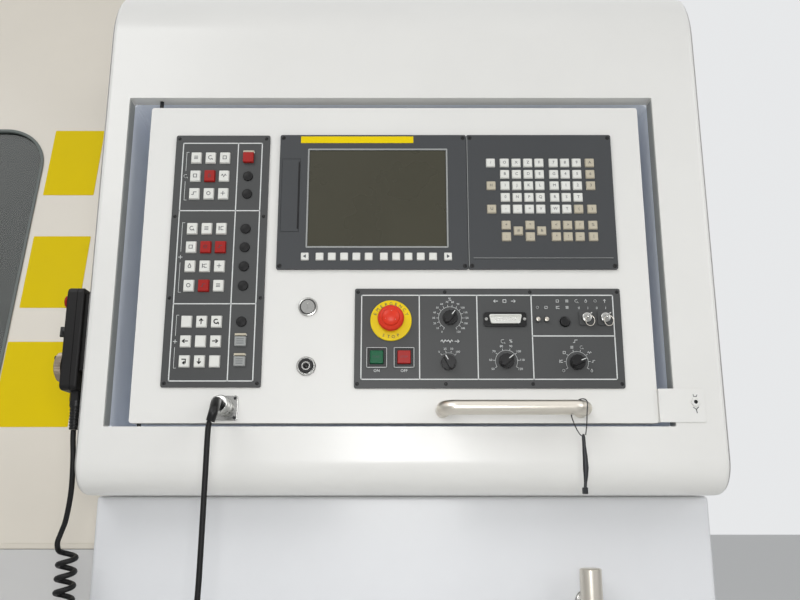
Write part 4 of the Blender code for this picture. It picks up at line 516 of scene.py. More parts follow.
ICONS = {
    "blank": [],
    "right": [[(-0.8, 0), (0.8, 0)], [(0.25, 0.5), (0.8, 0), (0.25, -0.5)]],
    "left": [[(-0.8, 0), (0.8, 0)], [(-0.25, 0.5), (-0.8, 0), (-0.25, -0.5)]],
    "up": [[(0, -0.8), (0, 0.8)], [(-0.5, 0.25), (0, 0.8), (0.5, 0.25)]],
    "down": [[(0, -0.8), (0, 0.8)], [(-0.5, -0.25), (0, -0.8), (0.5, -0.25)]],
    "wave": [[(-0.9, 0), (-0.5, 0.5), (0, -0.5), (0.5, 0.5), (0.9, 0)]],
    "square": [[(-0.6, -0.6), (0.6, -0.6), (0.6, 0.6), (-0.6, 0.6), (-0.6, -0.6)]],
    "ring": [arc_points(0, 360, 0.65, 10)],
    "cycle": [arc_points(60, 330, 0.7, 8), [(0.2, -0.75), (0.62, -0.35), (0.85, -0.85)]],
    "plus": [[(-0.7, 0), (0.7, 0)], [(0, -0.7), (0, 0.7)]],
    "bars": [[(-0.6, 0.5), (0.6, 0.5)], [(-0.6, 0), (0.6, 0)], [(-0.6, -0.5), (0.6, -0.5)]],
    "step": [[(-0.8, -0.5), (-0.2, -0.5), (-0.2, 0.5), (0.8, 0.5)]],
    "drop": [[(0, 0.8), (-0.5, -0.1), (-0.3, -0.7), (0.3, -0.7), (0.5, -0.1), (0, 0.8)]],
    "jaw": [[(-0.7, 0.7), (-0.7, -0.7)], [(-0.7, 0.35), (0.1, 0.35)], [(-0.7, -0.35), (0.1, -0.35)],
            [(0.1, 0.6), (0.8, 0.6)], [(0.1, -0.6), (0.8, -0.6)]],
    "hook": [[(-0.6, 0.6), (0.5, 0.6), (0.5, -0.6), (-0.1, -0.6)], [(0.1, -0.2), (-0.3, -0.6), (0.1, -0.95)]],
}
SWITCH_ICONS = ["hook", "down", "blank", "left", "blank", "right", "blank", "up", "cycle",
                "ring", "step", "bars", "drop", "jaw", "plus", "square", "ring", "step",
                "cycle", "bars", "jaw", "step", "ring", "plus", "square", "drop", "wave",
                "bars", "cycle", "square"]


def link(name, mesh):
    obj = bpy.data.objects.new(name, mesh)
    bpy.context.scene.collection.objects.link(obj)
    return obj


def plain_mesh(obj):
    """Mesh of an object with its modifiers applied; the object goes."""
    bpy.context.view_layer.update()
    mesh = bpy.data.meshes.new_from_object(obj.evaluated_get(bpy.context.evaluated_depsgraph_get()))
    bpy.data.objects.remove(obj)
    return mesh


def glyph(text):
    """Mesh of a short text, one unit high about its centre."""
    name = "glyph " + text
    if name not in bpy.data.meshes:
        letters = bpy.data.curves.new("letters", "FONT")
        letters.body = text
        letters.size = 1.4
        letters.align_x, letters.align_y = "CENTER", "CENTER"
        letters.resolution_u = 2
        letters.extrude = 0.04
        mesh = plain_mesh(link("letters", letters))
        mesh.name = name
    return bpy.data.meshes[name]


def chosen():
    """Sizes as they stand in the sidebar."""
    return bpy.context.scene.lathe_sizes


def dress(obj, paint, body, replaces=()):
    """Give a finished piece its finish, its body and the CAD nodes it stands for."""
    obj.data.materials.clear()
    obj.data.materials.append(finish(paint))
    obj.data.shade_smooth()
    obj.data.set_sharp_from_angle(angle=SHARP_ANGLE)
    even = obj.modifiers.new("even normals", "WEIGHTED_NORMAL")
    even.keep_sharp = True
    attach(obj, body)
    if replaces:
        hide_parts(*replaces)
    return obj


def to_mesh(name, shape):
    mesh = bpy.data.meshes.new(name)
    shape.bm.to_mesh(mesh)
    shape.bm.free()
    return mesh


def piece(name, shape, paint, body, replaces=()):
    """Finished piece from a shape, or from a mesh that is done."""
    mesh = to_mesh(name, shape) if isinstance(shape, Shape) else shape
    return dress(link(name, mesh), paint, body, replaces)


def carve(base, cutters=(), bodies=(), edge=0.0, segments=2, angle=40):
    """Solid left when cutters are taken from a base and other bodies welded on, edges rounded."""
    obj = link("base", to_mesh("base", base))
    for shape, operation in [(s, "UNION") for s in bodies] + [(s, "DIFFERENCE") for s in cutters]:
        tool = link("tool", to_mesh("tool", shape))
        modifier = obj.modifiers.new("cut", "BOOLEAN")
        modifier.operation, modifier.solver, modifier.object = operation, "EXACT", tool
        mesh = plain_mesh(obj)
        bpy.data.objects.remove(tool)
        obj = link("base", mesh)
    if edge:
        add_bevel(obj, edge, segments, angle)
    return plain_mesh(obj)


def add_bevel(obj, width, segments=2, angle=40):
    modifier = obj.modifiers.new("edges", "BEVEL")
    modifier.width, modifier.segments = width, segments
    modifier.limit_method, modifier.angle_limit = "ANGLE", radians(angle)


def solid(mesh):
    """Shape that goes on from a mesh."""
    return Shape().merge(mesh, Matrix())


def rolled(shape, width, segments=4, angle=40):
    """Shape with its sharp edges rounded."""
    block = link("solid", to_mesh("solid", shape))
    add_bevel(block, width, segments, angle)
    return solid(plain_mesh(block))


def refined(node, paint, edge=0.0, segments=2, angle=40):
    """Finer copy of a CAD node: its loose triangles joined and its edges rounded."""
    source = frame["nodes"][node]
    bm = bmesh.new()
    bm.from_mesh(source.data)
    bmesh.ops.remove_doubles(bm, verts=bm.verts, dist=0.00001)
    bmesh.ops.dissolve_limit(bm, angle_limit=radians(1), verts=bm.verts, edges=bm.edges)
    mesh = bpy.data.meshes.new(node)
    bm.to_mesh(mesh)
    bm.free()
    obj = link(node + "_skin", mesh)
    if edge:
        add_bevel(obj, edge, segments, angle)
        mesh = plain_mesh(obj)
        obj = link(node + "_skin", mesh)
    return dress(obj, paint, source["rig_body"], [node])


# Geometry Nodes trees for what repeats
def node_tree(name, sockets):
    """Tree with a geometry socket each way, the named inputs and the three that every tree has."""
    tree = bpy.data.node_groups.new(name, "GeometryNodeTree")
    tree.interface.new_socket("Seats", in_out="INPUT", socket_type="NodeSocketGeometry")
    for label, kind in (*sockets, ("Shape", "Object"), ("Size", "Float"), ("Finish", "Material")):
        tree.interface.new_socket(label, in_out="INPUT", socket_type="NodeSocket" + kind)
    tree.interface.new_socket("Pieces", in_out="OUTPUT", socket_type="NodeSocketGeometry")
    return tree, tree.nodes.new("NodeGroupInput"), tree.nodes.new("NodeGroupOutput")


def close_tree(tree, source, sink, points, turn):
    """Set the shape on the points, make the copies real and paint them."""
    shape = tree.nodes.new("GeometryNodeObjectInfo")
    place = tree.nodes.new("GeometryNodeInstanceOnPoints")
    real = tree.nodes.new("GeometryNodeRealizeInstances")
    paint = tree.nodes.new("GeometryNodeSetMaterial")
    rotation = tree.nodes.new("FunctionNodeEulerToRotation")
    if turn:
        tree.links.new(turn, rotation.inputs["Euler"])
    wires = [(source.outputs["Shape"], shape.inputs["Object"]), (points, place.inputs["Points"]),
             (shape.outputs["Geometry"], place.inputs["Instance"]),
             (rotation.outputs["Rotation"], place.inputs["Rotation"]),
             (source.outputs["Size"], place.inputs["Scale"]),
             (place.outputs["Instances"], real.inputs["Geometry"]),
             (real.outputs["Geometry"], paint.inputs["Geometry"]),
             (source.outputs["Finish"], paint.inputs["Material"]),
             (paint.outputs["Geometry"], sink.inputs["Pieces"])]
    for start, end in wires:
        tree.links.new(start, end)
    return tree


def seat_tree():
    """Copies of a shape on given seats, each with its own turn."""
    if "Seats" in bpy.data.node_groups:
        return bpy.data.node_groups["Seats"]
    tree, source, sink = node_tree("Seats", [])
    turn = tree.nodes.new("GeometryNodeInputNamedAttribute")
    turn.data_type = "FLOAT_VECTOR"
    turn.inputs["Name"].default_value = "turn"
    return close_tree(tree, source, sink, source.outputs["Seats"], turn.outputs["Attribute"])


def ring_tree():
    """Copies of a shape round a circle or an arc."""
    if "Ring" in bpy.data.node_groups:
        return bpy.data.node_groups["Ring"]
    tree, source, sink = node_tree("Ring", [("Count", "Int"), ("Radius", "Float"), ("Start", "Float"),
                                            ("Step", "Float")])

    def maths(operation, first, second=None):
        node = tree.nodes.new("ShaderNodeMath")
        node.operation = operation
        tree.links.new(first, node.inputs[0])
        if second is not None:
            tree.links.new(second, node.inputs[1])
        return node.outputs["Value"]

    index = tree.nodes.new("GeometryNodeInputIndex").outputs["Index"]
    angle = maths("ADD", source.outputs["Start"], maths("MULTIPLY", index, source.outputs["Step"]))
    seat = tree.nodes.new("ShaderNodeCombineXYZ")
    tree.links.new(maths("MULTIPLY", maths("COSINE", angle), source.outputs["Radius"]), seat.inputs["X"])
    tree.links.new(maths("MULTIPLY", maths("SINE", angle), source.outputs["Radius"]), seat.inputs["Y"])
    points = tree.nodes.new("GeometryNodePoints")
    tree.links.new(source.outputs["Count"], points.inputs["Count"])
    tree.links.new(seat.outputs["Vector"], points.inputs["Position"])
    euler = tree.nodes.new("ShaderNodeCombineXYZ")
    tree.links.new(angle, euler.inputs["Z"])
    return close_tree(tree, source, sink, points.outputs["Points"], euler.outputs["Vector"])


def row_tree():
    """Copies of a shape in a straight row."""
    if "Row" in bpy.data.node_groups:
        return bpy.data.node_groups["Row"]
    tree, source, sink = node_tree("Row", [("Count", "Int"), ("Pitch", "Vector")])
    index = tree.nodes.new("GeometryNodeInputIndex")
    seat = tree.nodes.new("ShaderNodeVectorMath")
    seat.operation = "SCALE"
    tree.links.new(source.outputs["Pitch"], seat.inputs[0])
    tree.links.new(index.outputs["Index"], seat.inputs["Scale"])
    points = tree.nodes.new("GeometryNodePoints")
    tree.links.new(source.outputs["Count"], points.inputs["Count"])
    tree.links.new(seat.outputs["Vector"], points.inputs["Position"])
    return close_tree(tree, source, sink, points.outputs["Points"], None)


def grow(name, tree, stamp, paint, body, place=Matrix(), seats=(), **settings):
    """Run a tree with a small stamp shape and keep the result as one plain mesh."""
    mesh = bpy.data.meshes.new(name)
    mesh.from_pydata([seat.to_translation() for seat in seats], [], [])
    if seats:
        turns = mesh.attributes.new("turn", "FLOAT_VECTOR", "POINT")
        for k, seat in enumerate(seats):
            turns.data[k].vector = seat.to_euler()
    carrier = link(name, mesh)
    stamp = link("stamp", to_mesh("stamp", stamp))
    modifier = carrier.modifiers.new("tree", "NODES")
    modifier.node_group = tree
    settings = {"Size": 1.0, **settings, "Shape": stamp, "Finish": finish(paint)}
    for item in tree.interface.items_tree:
        if item.name in settings:
            modifier[item.identifier] = settings[item.name]
    made = plain_mesh(carrier)
    made.transform(place)
    bpy.data.objects.remove(stamp)
    if "turn" in made.attributes:
        made.attributes.remove(made.attributes["turn"])
    return piece(name, made, paint, body)


def scatter(name, stamp, paint, body, plane, places):
    """Copies of a stamp at places of a plane, as one piece."""
    return grow(name, seat_tree(), stamp, paint, body, seats=seats_on(plane, places))


def grid(columns, rows, rise=0.0):
    """Places of a plane, one column after another."""
    return [(x, y, rise) for x in columns for y in rows]


def seats_on(plane, places):
    """Seats of a plane's places, given with or without their rise."""
    return [plane @ Matrix.Translation((*place, 0.0) if len(place) == 2 else place) for place in places]


def screw_stamp(radius, rise=0.0008):
    """Low domed head with a cross recess."""
    head = Shape().turn([(0, rise), (radius * 0.5, rise * 0.92), (radius * 0.85, rise * 0.55), (radius, 0),
                         (radius, -0.0004), (0, -0.0004)], Matrix(), 20)
    arm, width = radius * 0.58, radius * 0.11
    cross = Shape().tile(0, 0, 2 * arm, 2 * width, Matrix(), rise * 0.3, rise * 1.5)
    other = Shape().tile(0, 0, 2 * width, 2 * arm, Matrix(), rise * 0.3, rise * 1.5)
    return solid(carve(head, [cross, other]))


def bolt_stamp(radius, rise):
    """Socket head screw: a chamfered drum with a six-sided socket."""
    head = Shape().turn([(0, rise), (radius * 0.9, rise), (radius, rise - radius * 0.1), (radius, -0.0005),
                         (0, -0.0005)], Matrix(), 20)
    socket = Shape().prism(circle(0, 0, radius * 0.5, 6), Matrix(), rise * 0.4, rise * 1.5)
    return solid(carve(head, [socket]))


# Stage
def make_stage():
    """Floor, studio light and the camera's view of the console."""
    colours = bpy.context.scene.lathe_colours
    floor = Shape().prism([(-30, -30), (30, -30), (30, 30), (-30, 30)], Matrix(), -0.02, 0.0)
    floor = link("floor", to_mesh("floor", floor))
    material = bpy.data.materials.new("floor_paint")
    material.use_nodes = True
    shader = material.node_tree.nodes["Principled BSDF"]
    shader.inputs["Base Color"].default_value = (*colours.floor, 1)
    shader.inputs["Roughness"].default_value = 0.9
    floor.data.materials.append(material)

    world = bpy.data.worlds.new("studio")
    bpy.context.scene.world = world
    world.use_nodes = True
    tree = world.node_tree

    def background(tone, strength):
        node = tree.nodes.new("ShaderNodeBackground")
        node.inputs["Color"].default_value = (*tone, 1)
        node.inputs["Strength"].default_value = strength
        return node

    def mix(first, second, share):
        node = tree.nodes.new("ShaderNodeMixShader")
        tree.links.new(share, node.inputs["Fac"])
        tree.links.new(first, node.inputs[1])
        tree.links.new(second, node.inputs[2])
        return node.outputs["Shader"]

    light = background((0.95, 0.97, 1.0), 0.42)
    seen = background((0.8, 0.81, 0.82), 1.0)
    mirrored = background((1.0, 1.0, 1.0), 1.0)  # what metal reflects: darker low down, bright overhead
    height = tree.nodes.new("ShaderNodeSeparateXYZ")
    bright = tree.nodes.new("ShaderNodeMapRange")
    for key, value in (("From Min", 0.0), ("From Max", 0.75), ("To Min", 0.42), ("To Max", 1.15)):
        bright.inputs[key].default_value = value
    tree.links.new(tree.nodes.new("ShaderNodeTexCoord").outputs["Generated"], height.inputs["Vector"])
    tree.links.new(height.outputs["Z"], bright.inputs["Value"])
    tree.links.new(bright.outputs["Result"], mirrored.inputs["Strength"])
    rays = tree.nodes.new("ShaderNodeLightPath").outputs
    shader = mix(light.outputs["Background"], mirrored.outputs["Background"], rays["Is Glossy Ray"])
    for ray in ("Is Transmission Ray", "Is Camera Ray"):
        shader = mix(shader, seen.outputs["Background"], rays[ray])
    tree.links.new(shader, tree.nodes["World Output"].inputs["Surface"])

    for name, at, aim, size, power in [("key_light", (-1.2, -4.6, 4.4), (1.3, -0.8, 1.4), 2.6, 74),
                                       ("fill_light", (4.6, -3.6, 2.6), (1.3, -0.6, 1.2), 2.4, 33),
                                       ("front_light", (1.47, -2.2, 1.2), (1.45, -0.8, 1.1), 0.4, 6),
                                       ("rear_light", (-1.0, 4.5, 4.0), (0.0, 0.6, 1.2), 3.0, 110)]:
        lamp = bpy.data.lights.new(name, "AREA")
        lamp.shape, lamp.size, lamp.energy = "SQUARE", size, power
        obj = link(name, lamp)
        obj.location = at
        obj.rotation_euler = (Vector(aim) - Vector(at)).to_track_quat("-Z", "Y").to_euler()

    view = bpy.data.cameras.new("camera")
    view.lens, view.sensor_width = 38.0, 36.0
    camera = link("camera", view)
    camera.location = (1.47, -2.057, 1.08)
    camera.rotation_euler = (radians(103.6), 0, 0)
    bpy.context.scene.camera = camera
    bpy.context.scene.view_settings.view_transform = "Standard"


def make_cord():
    """One cord: down from the plug, up through its coiled stretch and on to the pendant."""
    sizes = chosen()
    lead, tail = smooth_route(LEAD, 0.006), smooth_route(TAIL, 0.004)
    low, high = lead[-1].z, tail[0].z
    half_turns, steps = 2 * sizes.coil_turns + 1, 10  # half a turn more, so the ends leave on opposite sides
    coil = []
    for k in range(1, half_turns * steps):
        share = k / (half_turns * steps)
        angle = pi * (1 - half_turns * (1 - share))
        coil.append(Vector((COIL_AXIS[0] + sizes.coil_radius * cos(angle),
                            COIL_AXIS[1] + sizes.coil_radius * sin(angle), low + (high - low) * share)))
    path = lead + coil + tail
    route = sum((b - a).length for a, b in zip(path, path[1:]))
    cord = link("pendant_cord", to_mesh("pendant_cord", Shape().sweep(path, sizes.cord_radius, 10)))
    cord.data.materials.append(finish("cord_rubber"))
    cord.data.shade_smooth()
    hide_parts("cord_lead", "cord_coil", "cord_tail")
    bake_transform(cord)
    tuple(path[0])
    [tuple(point) for point in path]


def make_console():
    """Shell with rolled top and bottom, rounded ends and a lipped opening."""
    sizes = chosen()
    low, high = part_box("console_housing")
    recess_low, recess_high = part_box("recess_liner")
    left, right = recess_low.x + SHEET, recess_high.x - SHEET
    bottom, top = recess_low.z + SHEET, recess_high.z - SHEET

    def outline(inset):
        face, back, floor, roof = low.y + inset, high.y - inset, low.z + inset, high.z - inset
        return rounded([(face, floor), (back, floor), (back, roof), (face, roof)],
                       [0.05 - inset, 0, 0, 0.13 - inset], 22)

    def opening(grow):
        return rectangle(left - grow, bottom - grow, right - left + 2 * grow, top - bottom + 2 * grow,
                         0.002 + max(grow, 0.0), 8)

    base = rolled(Shape().prism(outline(0), SIDE, low.x, high.x), 0.012, 5)
    hollow = Shape().prism(outline(SHEET), SIDE, low.x + SHEET, high.x - SHEET)
    lip = Shape().prism(opening(SHEET), FRONT, -low.y - 0.025, -low.y - SHEET / 2)
    hole = Shape().prism(opening(0), FRONT, -low.y - 0.05, -low.y + 0.01)
    shell = solid(carve(base, [hollow]))
    shell = solid(carve(shell, [], [lip]))
    mesh = carve(shell, [hole], edge=sizes.lip_edge, segments=3, angle=50)
    piece("console_shell", mesh, "console_enamel", "machine", ["console_housing"])

    # Grey strips on the inner faces of the opening's left and right lips: painted shade, where the white
    # shell's lips lie in shadow
    shade_strips = Shape()
    for x in (left + 0.0003, right - 0.0012):
        shade_strips.prism(rectangle(x, bottom + 0.003, 0.0009, top - bottom - 0.006), FRONT, -low.y - 0.0245,
                   -low.y - 0.0025)
    piece("opening_trim", shade_strips, "frame_grey", "machine")

    pins = Shape()
    for start, end in [(bottom - 0.0015, bottom + 0.016), (top + 0.0015, top - 0.027)]:
        pins.prism(circle(1.0855, -0.805, 0.003, 20), Matrix(), min(start, end), max(start, end))
    piece("pivot_pins", pins, "tool_black", "machine")


def plate_screws(name, plane, columns, rows, radius=None):
    """Countersunk screws of a plate of the panel."""
    radius = radius or chosen().screw_radius
    scatter(name, screw_stamp(radius), "black_plastic", "panel", plane, grid(columns, rows))


def make_panel():
    """The swinging panel's skin with its lock, socket and lock tab."""
    refined("control_panel", "panel_enamel", 0.0014, 3)
    refined("lock_tab", "panel_enamel", 0.0008, 2)

    lock = PANEL @ shift(0.2578, 0.174, LIFT)
    disc = Shape().turn([(0, 0.0034), (0.0102, 0.0034), (0.0108, 0.0028), (0.0111, 0.002), (0.0122, 0.0034),
                         (0.0136, 0.0032), (0.0145, 0.0018), (0.0145, 0), (0, 0)], lock, 48)
    slot = Shape().tile(0, 0, 0.002, 0.0115, lock, 0.0012, 0.006, corner=0.0009)
    piece("panel_lock_face", carve(disc, [slot]), "bright_metal", "panel_lock_body", ["panel_lock"])
    groove = Shape().turn([(0.0109, 0.00285), (0.0121, 0.0029), (0.0121, 0.0022), (0.0109, 0.0022)], lock, 48,
                          ring=True)
    piece("panel_lock_groove", groove, "black_plastic", "panel_lock_body")

    socket = PANEL @ shift(0.2573, 0.084, LIFT)
    ring = Shape().turn([(0.0112, 0.0026), (0.0132, 0.0026), (0.0145, 0.0012), (0.0145, 0), (0.0112, 0)],
                        socket, 48, ring=True)
    piece("socket_ring", ring, "bright_metal", "panel")
    core = Shape().turn([(0, 0.0012), (0.0068, 0.0012), (0.0068, 0.006), (0.01, 0.006), (0.0111, 0.005),
                         (0.0111, 0), (0, 0)], socket, 48)
    piece("socket_core", core, "black_plastic", "panel", ["round_socket"])
    inner = Shape().turn([(0.0047, 0.0052), (0.0064, 0.0052), (0.0067, 0.0049), (0.0067, 0.0013),
                          (0.0047, 0.0013)], socket, 40, ring=True)
    piece("socket_contact_ring", inner, "bright_metal", "panel")
    pin = Shape().turn([(0, 0.004), (0.0022, 0.0036), (0.003, 0.0026), (0.003, 0.0013), (0, 0.0013)], socket,
                       24)
    piece("socket_pin", pin, "black_plastic", "panel")

    centre = shift(1.9018, -0.8226, 1.2254) @ FRONT
    cam = Shape().turn([(0, 0.0026), (0.0056, 0.0026), (0.0062, 0.0018), (0.0062, 0), (0, 0)], centre, 40)
    hole = Shape().prism(circle(0, 0, 0.003, 24), centre, 0.0004, 0.006)
    piece("lock_cam_face", carve(cam, [hole]), "panel_enamel", "lock_cam_body", ["lock_cam"])
    core = Shape().prism(circle(0, 0, 0.0029, 24), centre, 0.0002, 0.0014)
    piece("lock_cam_core", core, "black_plastic", "lock_cam_body")
    marks = Shape()
    for width, line in ((0.0011, [(-0.0034, -0.0078), (0.0004, -0.0108), (0.0038, -0.0076)]),
                        (0.0012, [(0.0004, -0.0108), (0.0014, -0.0158)]),
                        (0.0009, [(-0.0026, 0.011), (-0.0022, 0.0082), (0.0018, 0.0078), (0.003, 0.0104)])):
        marks.stroke(line, width, centre, 0.0002, -0.0003)
    piece("lock_marks", marks, "dark_ink", "panel")


def cap_stamp(width, height, rise, crown):
    """Key cap: a four-sided frustum with a rounded rim."""
    shape = Shape()
    foot = rectangle(-width / 2, -height / 2, width, height, 0.0009, 3)
    shape.prism(foot, Matrix(), -0.0006, rise, 0.0, 1)
    for vert in shape.bm.verts:
        if vert.co.z > rise / 2:
            vert.co.x -= copysign(crown, vert.co.x)
            vert.co.y -= copysign(crown, vert.co.y)
    rim = [edge for edge in shape.bm.edges if min(v.co.z for v in edge.verts) > rise / 2]
    bmesh.ops.bevel(shape.bm, geom=rim, offset=0.0005, segments=2, affect="EDGES", profile=0.5)
    return shape


def unit_skin(node, plane, width, height, thick, paint, cutters=(), bodies=()):
    """Face of a unit and the box behind it in one closed skin."""
    face = Shape().prism(rectangle(0, 0, width, height, 0.003, 4), plane, -thick, 0.0, 0.0006, 2)
    box = Shape().prism(rectangle(0.012, 0.012, width - 0.024, height - 0.024), plane,
                        -thick - UNIT_BOX_DEPTH, -thick + 0.001)
    return piece(node + "_skin", carve(face, cutters, [box, *bodies]), paint, "panel", [node])


def make_display():
    """Display surround with its screen frame, soft keys, card door and bare yellow strip."""
    rise = chosen().mark_rise
    screen = Shape().prism(rectangle(0.0465, 0.036, 0.214, 0.158), DISPLAY, -0.0025, 0.01)
    slot = Shape().prism(rectangle(0.004, 0.059, 0.029, 0.1205), DISPLAY, -0.0008, 0.01)
    unit_skin("display_unit", DISPLAY, 0.2925, 0.22, 0.005, "bezel_plastic", [screen, slot])
    bezel = Shape()
    bezel.band(rectangle(0.0442, 0.0337, 0.2186, 0.1626, 0.0015, 3),
               rectangle(0.0466, 0.0361, 0.2138, 0.1578, 0.0006, 3), DISPLAY, -0.0008, 0.0009)
    piece("screen_frame", bezel, "frame_grey", "panel")
    row, ends = 0.0197, (0.0435, 0.2617)
    columns = [start + k * 0.0187 for start in (0.066, 0.164) for k in range(5)]
    scatter("soft_keys", cap_stamp(0.0125, 0.0125, 0.0026, 0.0007), "key_plastic", "panel", DISPLAY,
            grid((*columns, *ends), (row,)))
    arrows = Shape()
    for x, side in zip(ends, (-1, 1)):
        back = x - side * 0.0018
        tip = [(x + side * 0.0026, row), (back, row + 0.0029), (back, row - 0.0029)]
        arrows.prism(tip[::side], DISPLAY, 0.0025, 0.0026 + rise)
    piece("soft_key_arrows", arrows, "dark_ink", "panel")
    strip = Shape().prism(rectangle(0.0325, 0.206, 0.177, 0.0112, 0.0006, 2), DISPLAY, -0.0002, 0.0004,
                          0.0002, 1)
    piece("display_strip", strip, "yellow_film", "panel")
    door = Shape().prism(rectangle(0.0046, 0.0596, 0.0278, 0.1193, 0.0012, 3), DISPLAY, -0.0009, 0.0004,
                         0.0003, 1)
    piece("card_door", door, "bezel_plastic", "panel")
    grip = Shape().prism(rectangle(0.03, 0.064, 0.0022, 0.11, 0.0009, 3), DISPLAY, 0.0003, 0.0011, 0.0004, 1)
    piece("card_door_grip", grip, "black_plastic", "panel")
    plate_screws("display_screws", DISPLAY, (0.0052, 0.2873), (0.0052, 0.2148), UNIT_SCREW)


def make_keyboard():
    """Keyboard unit with its pale and warm keys and their letters."""
    crown = chosen().cap_crown
    rise = chosen().mark_rise
    groove = Shape().prism(rectangle(0.008, 0.015, 0.213, 0.002), KEYBOARD, -0.001, 0.01)
    unit_skin("keyboard_unit", KEYBOARD, 0.2275, 0.22, 0.005, "bezel_plastic", [groove])
    pale, beige, marks, faces, top = [], [], Shape(), iter(KEY_FACES), 0.0027
    for y, columns, warm in KEY_ROWS:
        for letter in columns:
            seat = (KEY_COLUMNS[letter], y)
            (beige if letter in warm else pale).append(seat)
            marks.write(next(faces), *seat, 0.0046, KEYBOARD, top)
    for name, seats, paint in (("keys", pale, "key_plastic"), ("function_keys", beige, "beige_plastic")):
        scatter(name, cap_stamp(0.0148, 0.0148, top, crown), paint, "panel", KEYBOARD, seats)
    piece("key_letters", marks, "dark_ink", "panel")
    edge = Shape().prism(rectangle(0.008, 0.0172, 0.213, 0.0008), KEYBOARD, -0.0002, rise)
    edge.prism(rectangle(0.0006, 0.004, 0.0008, 0.212), KEYBOARD, -0.0002, rise)
    piece("keyboard_edges", edge, "frame_grey", "panel")
    plate_screws("keyboard_screws", KEYBOARD, (0.0052, 0.2223), (0.0052, 0.2148), UNIT_SCREW)


def make_switches():
    """Left-hand plate: three groups of keys, a lamp column and hole plugs."""
    rise = chosen().mark_rise
    crown = chosen().cap_crown
    unit_skin("switch_plate", SWITCHES, 0.148, 0.4, 0.003, "plate_plastic")
    lines = Shape().loop(rectangle(0.012, 0.0095, 0.124, 0.377), PLATE_LINE, SWITCHES, rise)
    for ends in ([(0.012, 0.1264), (0.136, 0.1264)], [(0.012, 0.2743), (0.136, 0.2743)],
                 [(0.0985, 0.0095), (0.0985, 0.3865)]):
        lines.stroke(ends, PLATE_LINE, SWITCHES, rise)
    for first, last, sign in ((0, 2, "plus"), (3, 6, "plus"), (7, 9, "cycle")):
        low, high = SWITCH_ROWS[first] - 0.01, SWITCH_ROWS[last] + 0.01
        middle = (low + high) / 2
        for end, gap in ((low, -0.009), (high, 0.009)):
            lines.stroke([(0.0215, end), (0.018, end), (0.018, middle + gap)], 0.0006, SWITCHES, rise)
        lines.icon(sign, 0.018, middle, 0.0075, SWITCHES, rise)
    for row in (SWITCH_ROWS[0], SWITCH_ROWS[1], SWITCH_ROWS[9]):
        lines.stroke([(0.1067, row + 0.0085), (0.1067, row + 0.0112), (0.1243, row + 0.0112),
                      (0.1243, row + 0.0085)], 0.0007, SWITCHES, rise)
    piece("switch_lines", lines, "white_ink", "panel")

    top, tall = 0.0036, 0.0042  # heights of the pale keys, and of the red keys and the lamps
    pale, red, icons, red_icons, bold_icons = [], [], Shape(), Shape(), Shape()
    for row, y in enumerate(SWITCH_ROWS):
        for column, x in enumerate(SWITCH_COLUMNS):
            picture = SWITCH_ICONS[row * 3 + column]
            if (row, column) in RED_SWITCHES:
                red.append((x, y))
                red_icons.icon(picture, x, y, 0.0075, SWITCHES, rise, tall)
            elif row < 3:
                pale.append((x, y))
                bold_icons.icon(picture, x, y, 0.0092, SWITCHES, rise, top, 0.34)
            else:
                pale.append((x, y))
                icons.icon(picture, x, y, 0.0085, SWITCHES, rise, top)
    scatter("switch_keys", cap_stamp(0.0168, 0.0188, top, crown), "key_plastic", "panel", SWITCHES, pale)
    scatter("red_switch_keys", cap_stamp(0.0176, 0.0196, tall, crown), "red_plastic", "panel", SWITCHES, red)
    piece("switch_icons", icons, "dark_ink", "panel")
    piece("arrow_icons", bold_icons, "black_plastic", "panel")
    piece("red_switch_icons", red_icons, "dark_ink", "panel")
    plug = Shape().turn([(0, 0.003), (0.004, 0.0029), (0.0062, 0.0022), (0.0072, 0.0024), (0.0078, 0.0014),
                         (0.0078, -0.0004), (0, -0.0004)], Matrix(), 32)
    scatter("hole_plugs", plug, "cord_rubber", "panel", SWITCHES, grid([LAMP_COLUMN], SWITCH_ROWS[2:9]))
    scatter("grey_lamps", cap_stamp(0.0176, 0.015, tall, 0.0005), "lamp_grey", "panel", SWITCHES,
            grid([LAMP_COLUMN], SWITCH_ROWS[:2]))
    marks = Shape()
    for y in SWITCH_ROWS[:2]:
        for step in (-1, 0, 1):
            marks.stroke([(LAMP_COLUMN - 0.005, y + step * 0.0032), (LAMP_COLUMN + 0.005, y + step * 0.0032)],
                         0.0007, SWITCHES, rise, tall)
    piece("lamp_marks", marks, "dark_ink", "panel")
    clips = Shape()
    for row in (0, 1, 9):
        clips.tile(LAMP_COLUMN, SWITCH_ROWS[row] + 0.0103, 0.0172, 0.0034, SWITCHES, -0.0004, 0.0034, 0.0006,
                   0.0008)
    piece("lamp_clips", clips, "beige_plastic", "panel")
    lamp = SWITCHES @ shift(LAMP_COLUMN, SWITCH_ROWS[-1], LIFT)
    lens = Shape().prism(rectangle(-0.0083, -0.0083, 0.0166, 0.0166, 0.0016, 4), lamp, 0.0, 0.006, 0.0012, 3)
    piece("alarm_lens", lens, "red_plastic", "panel", ["alarm_lamp"])
    plate_screws("switch_screws", SWITCHES, (0.0055, 0.1425), (0.006, 0.1355, 0.265, 0.394))


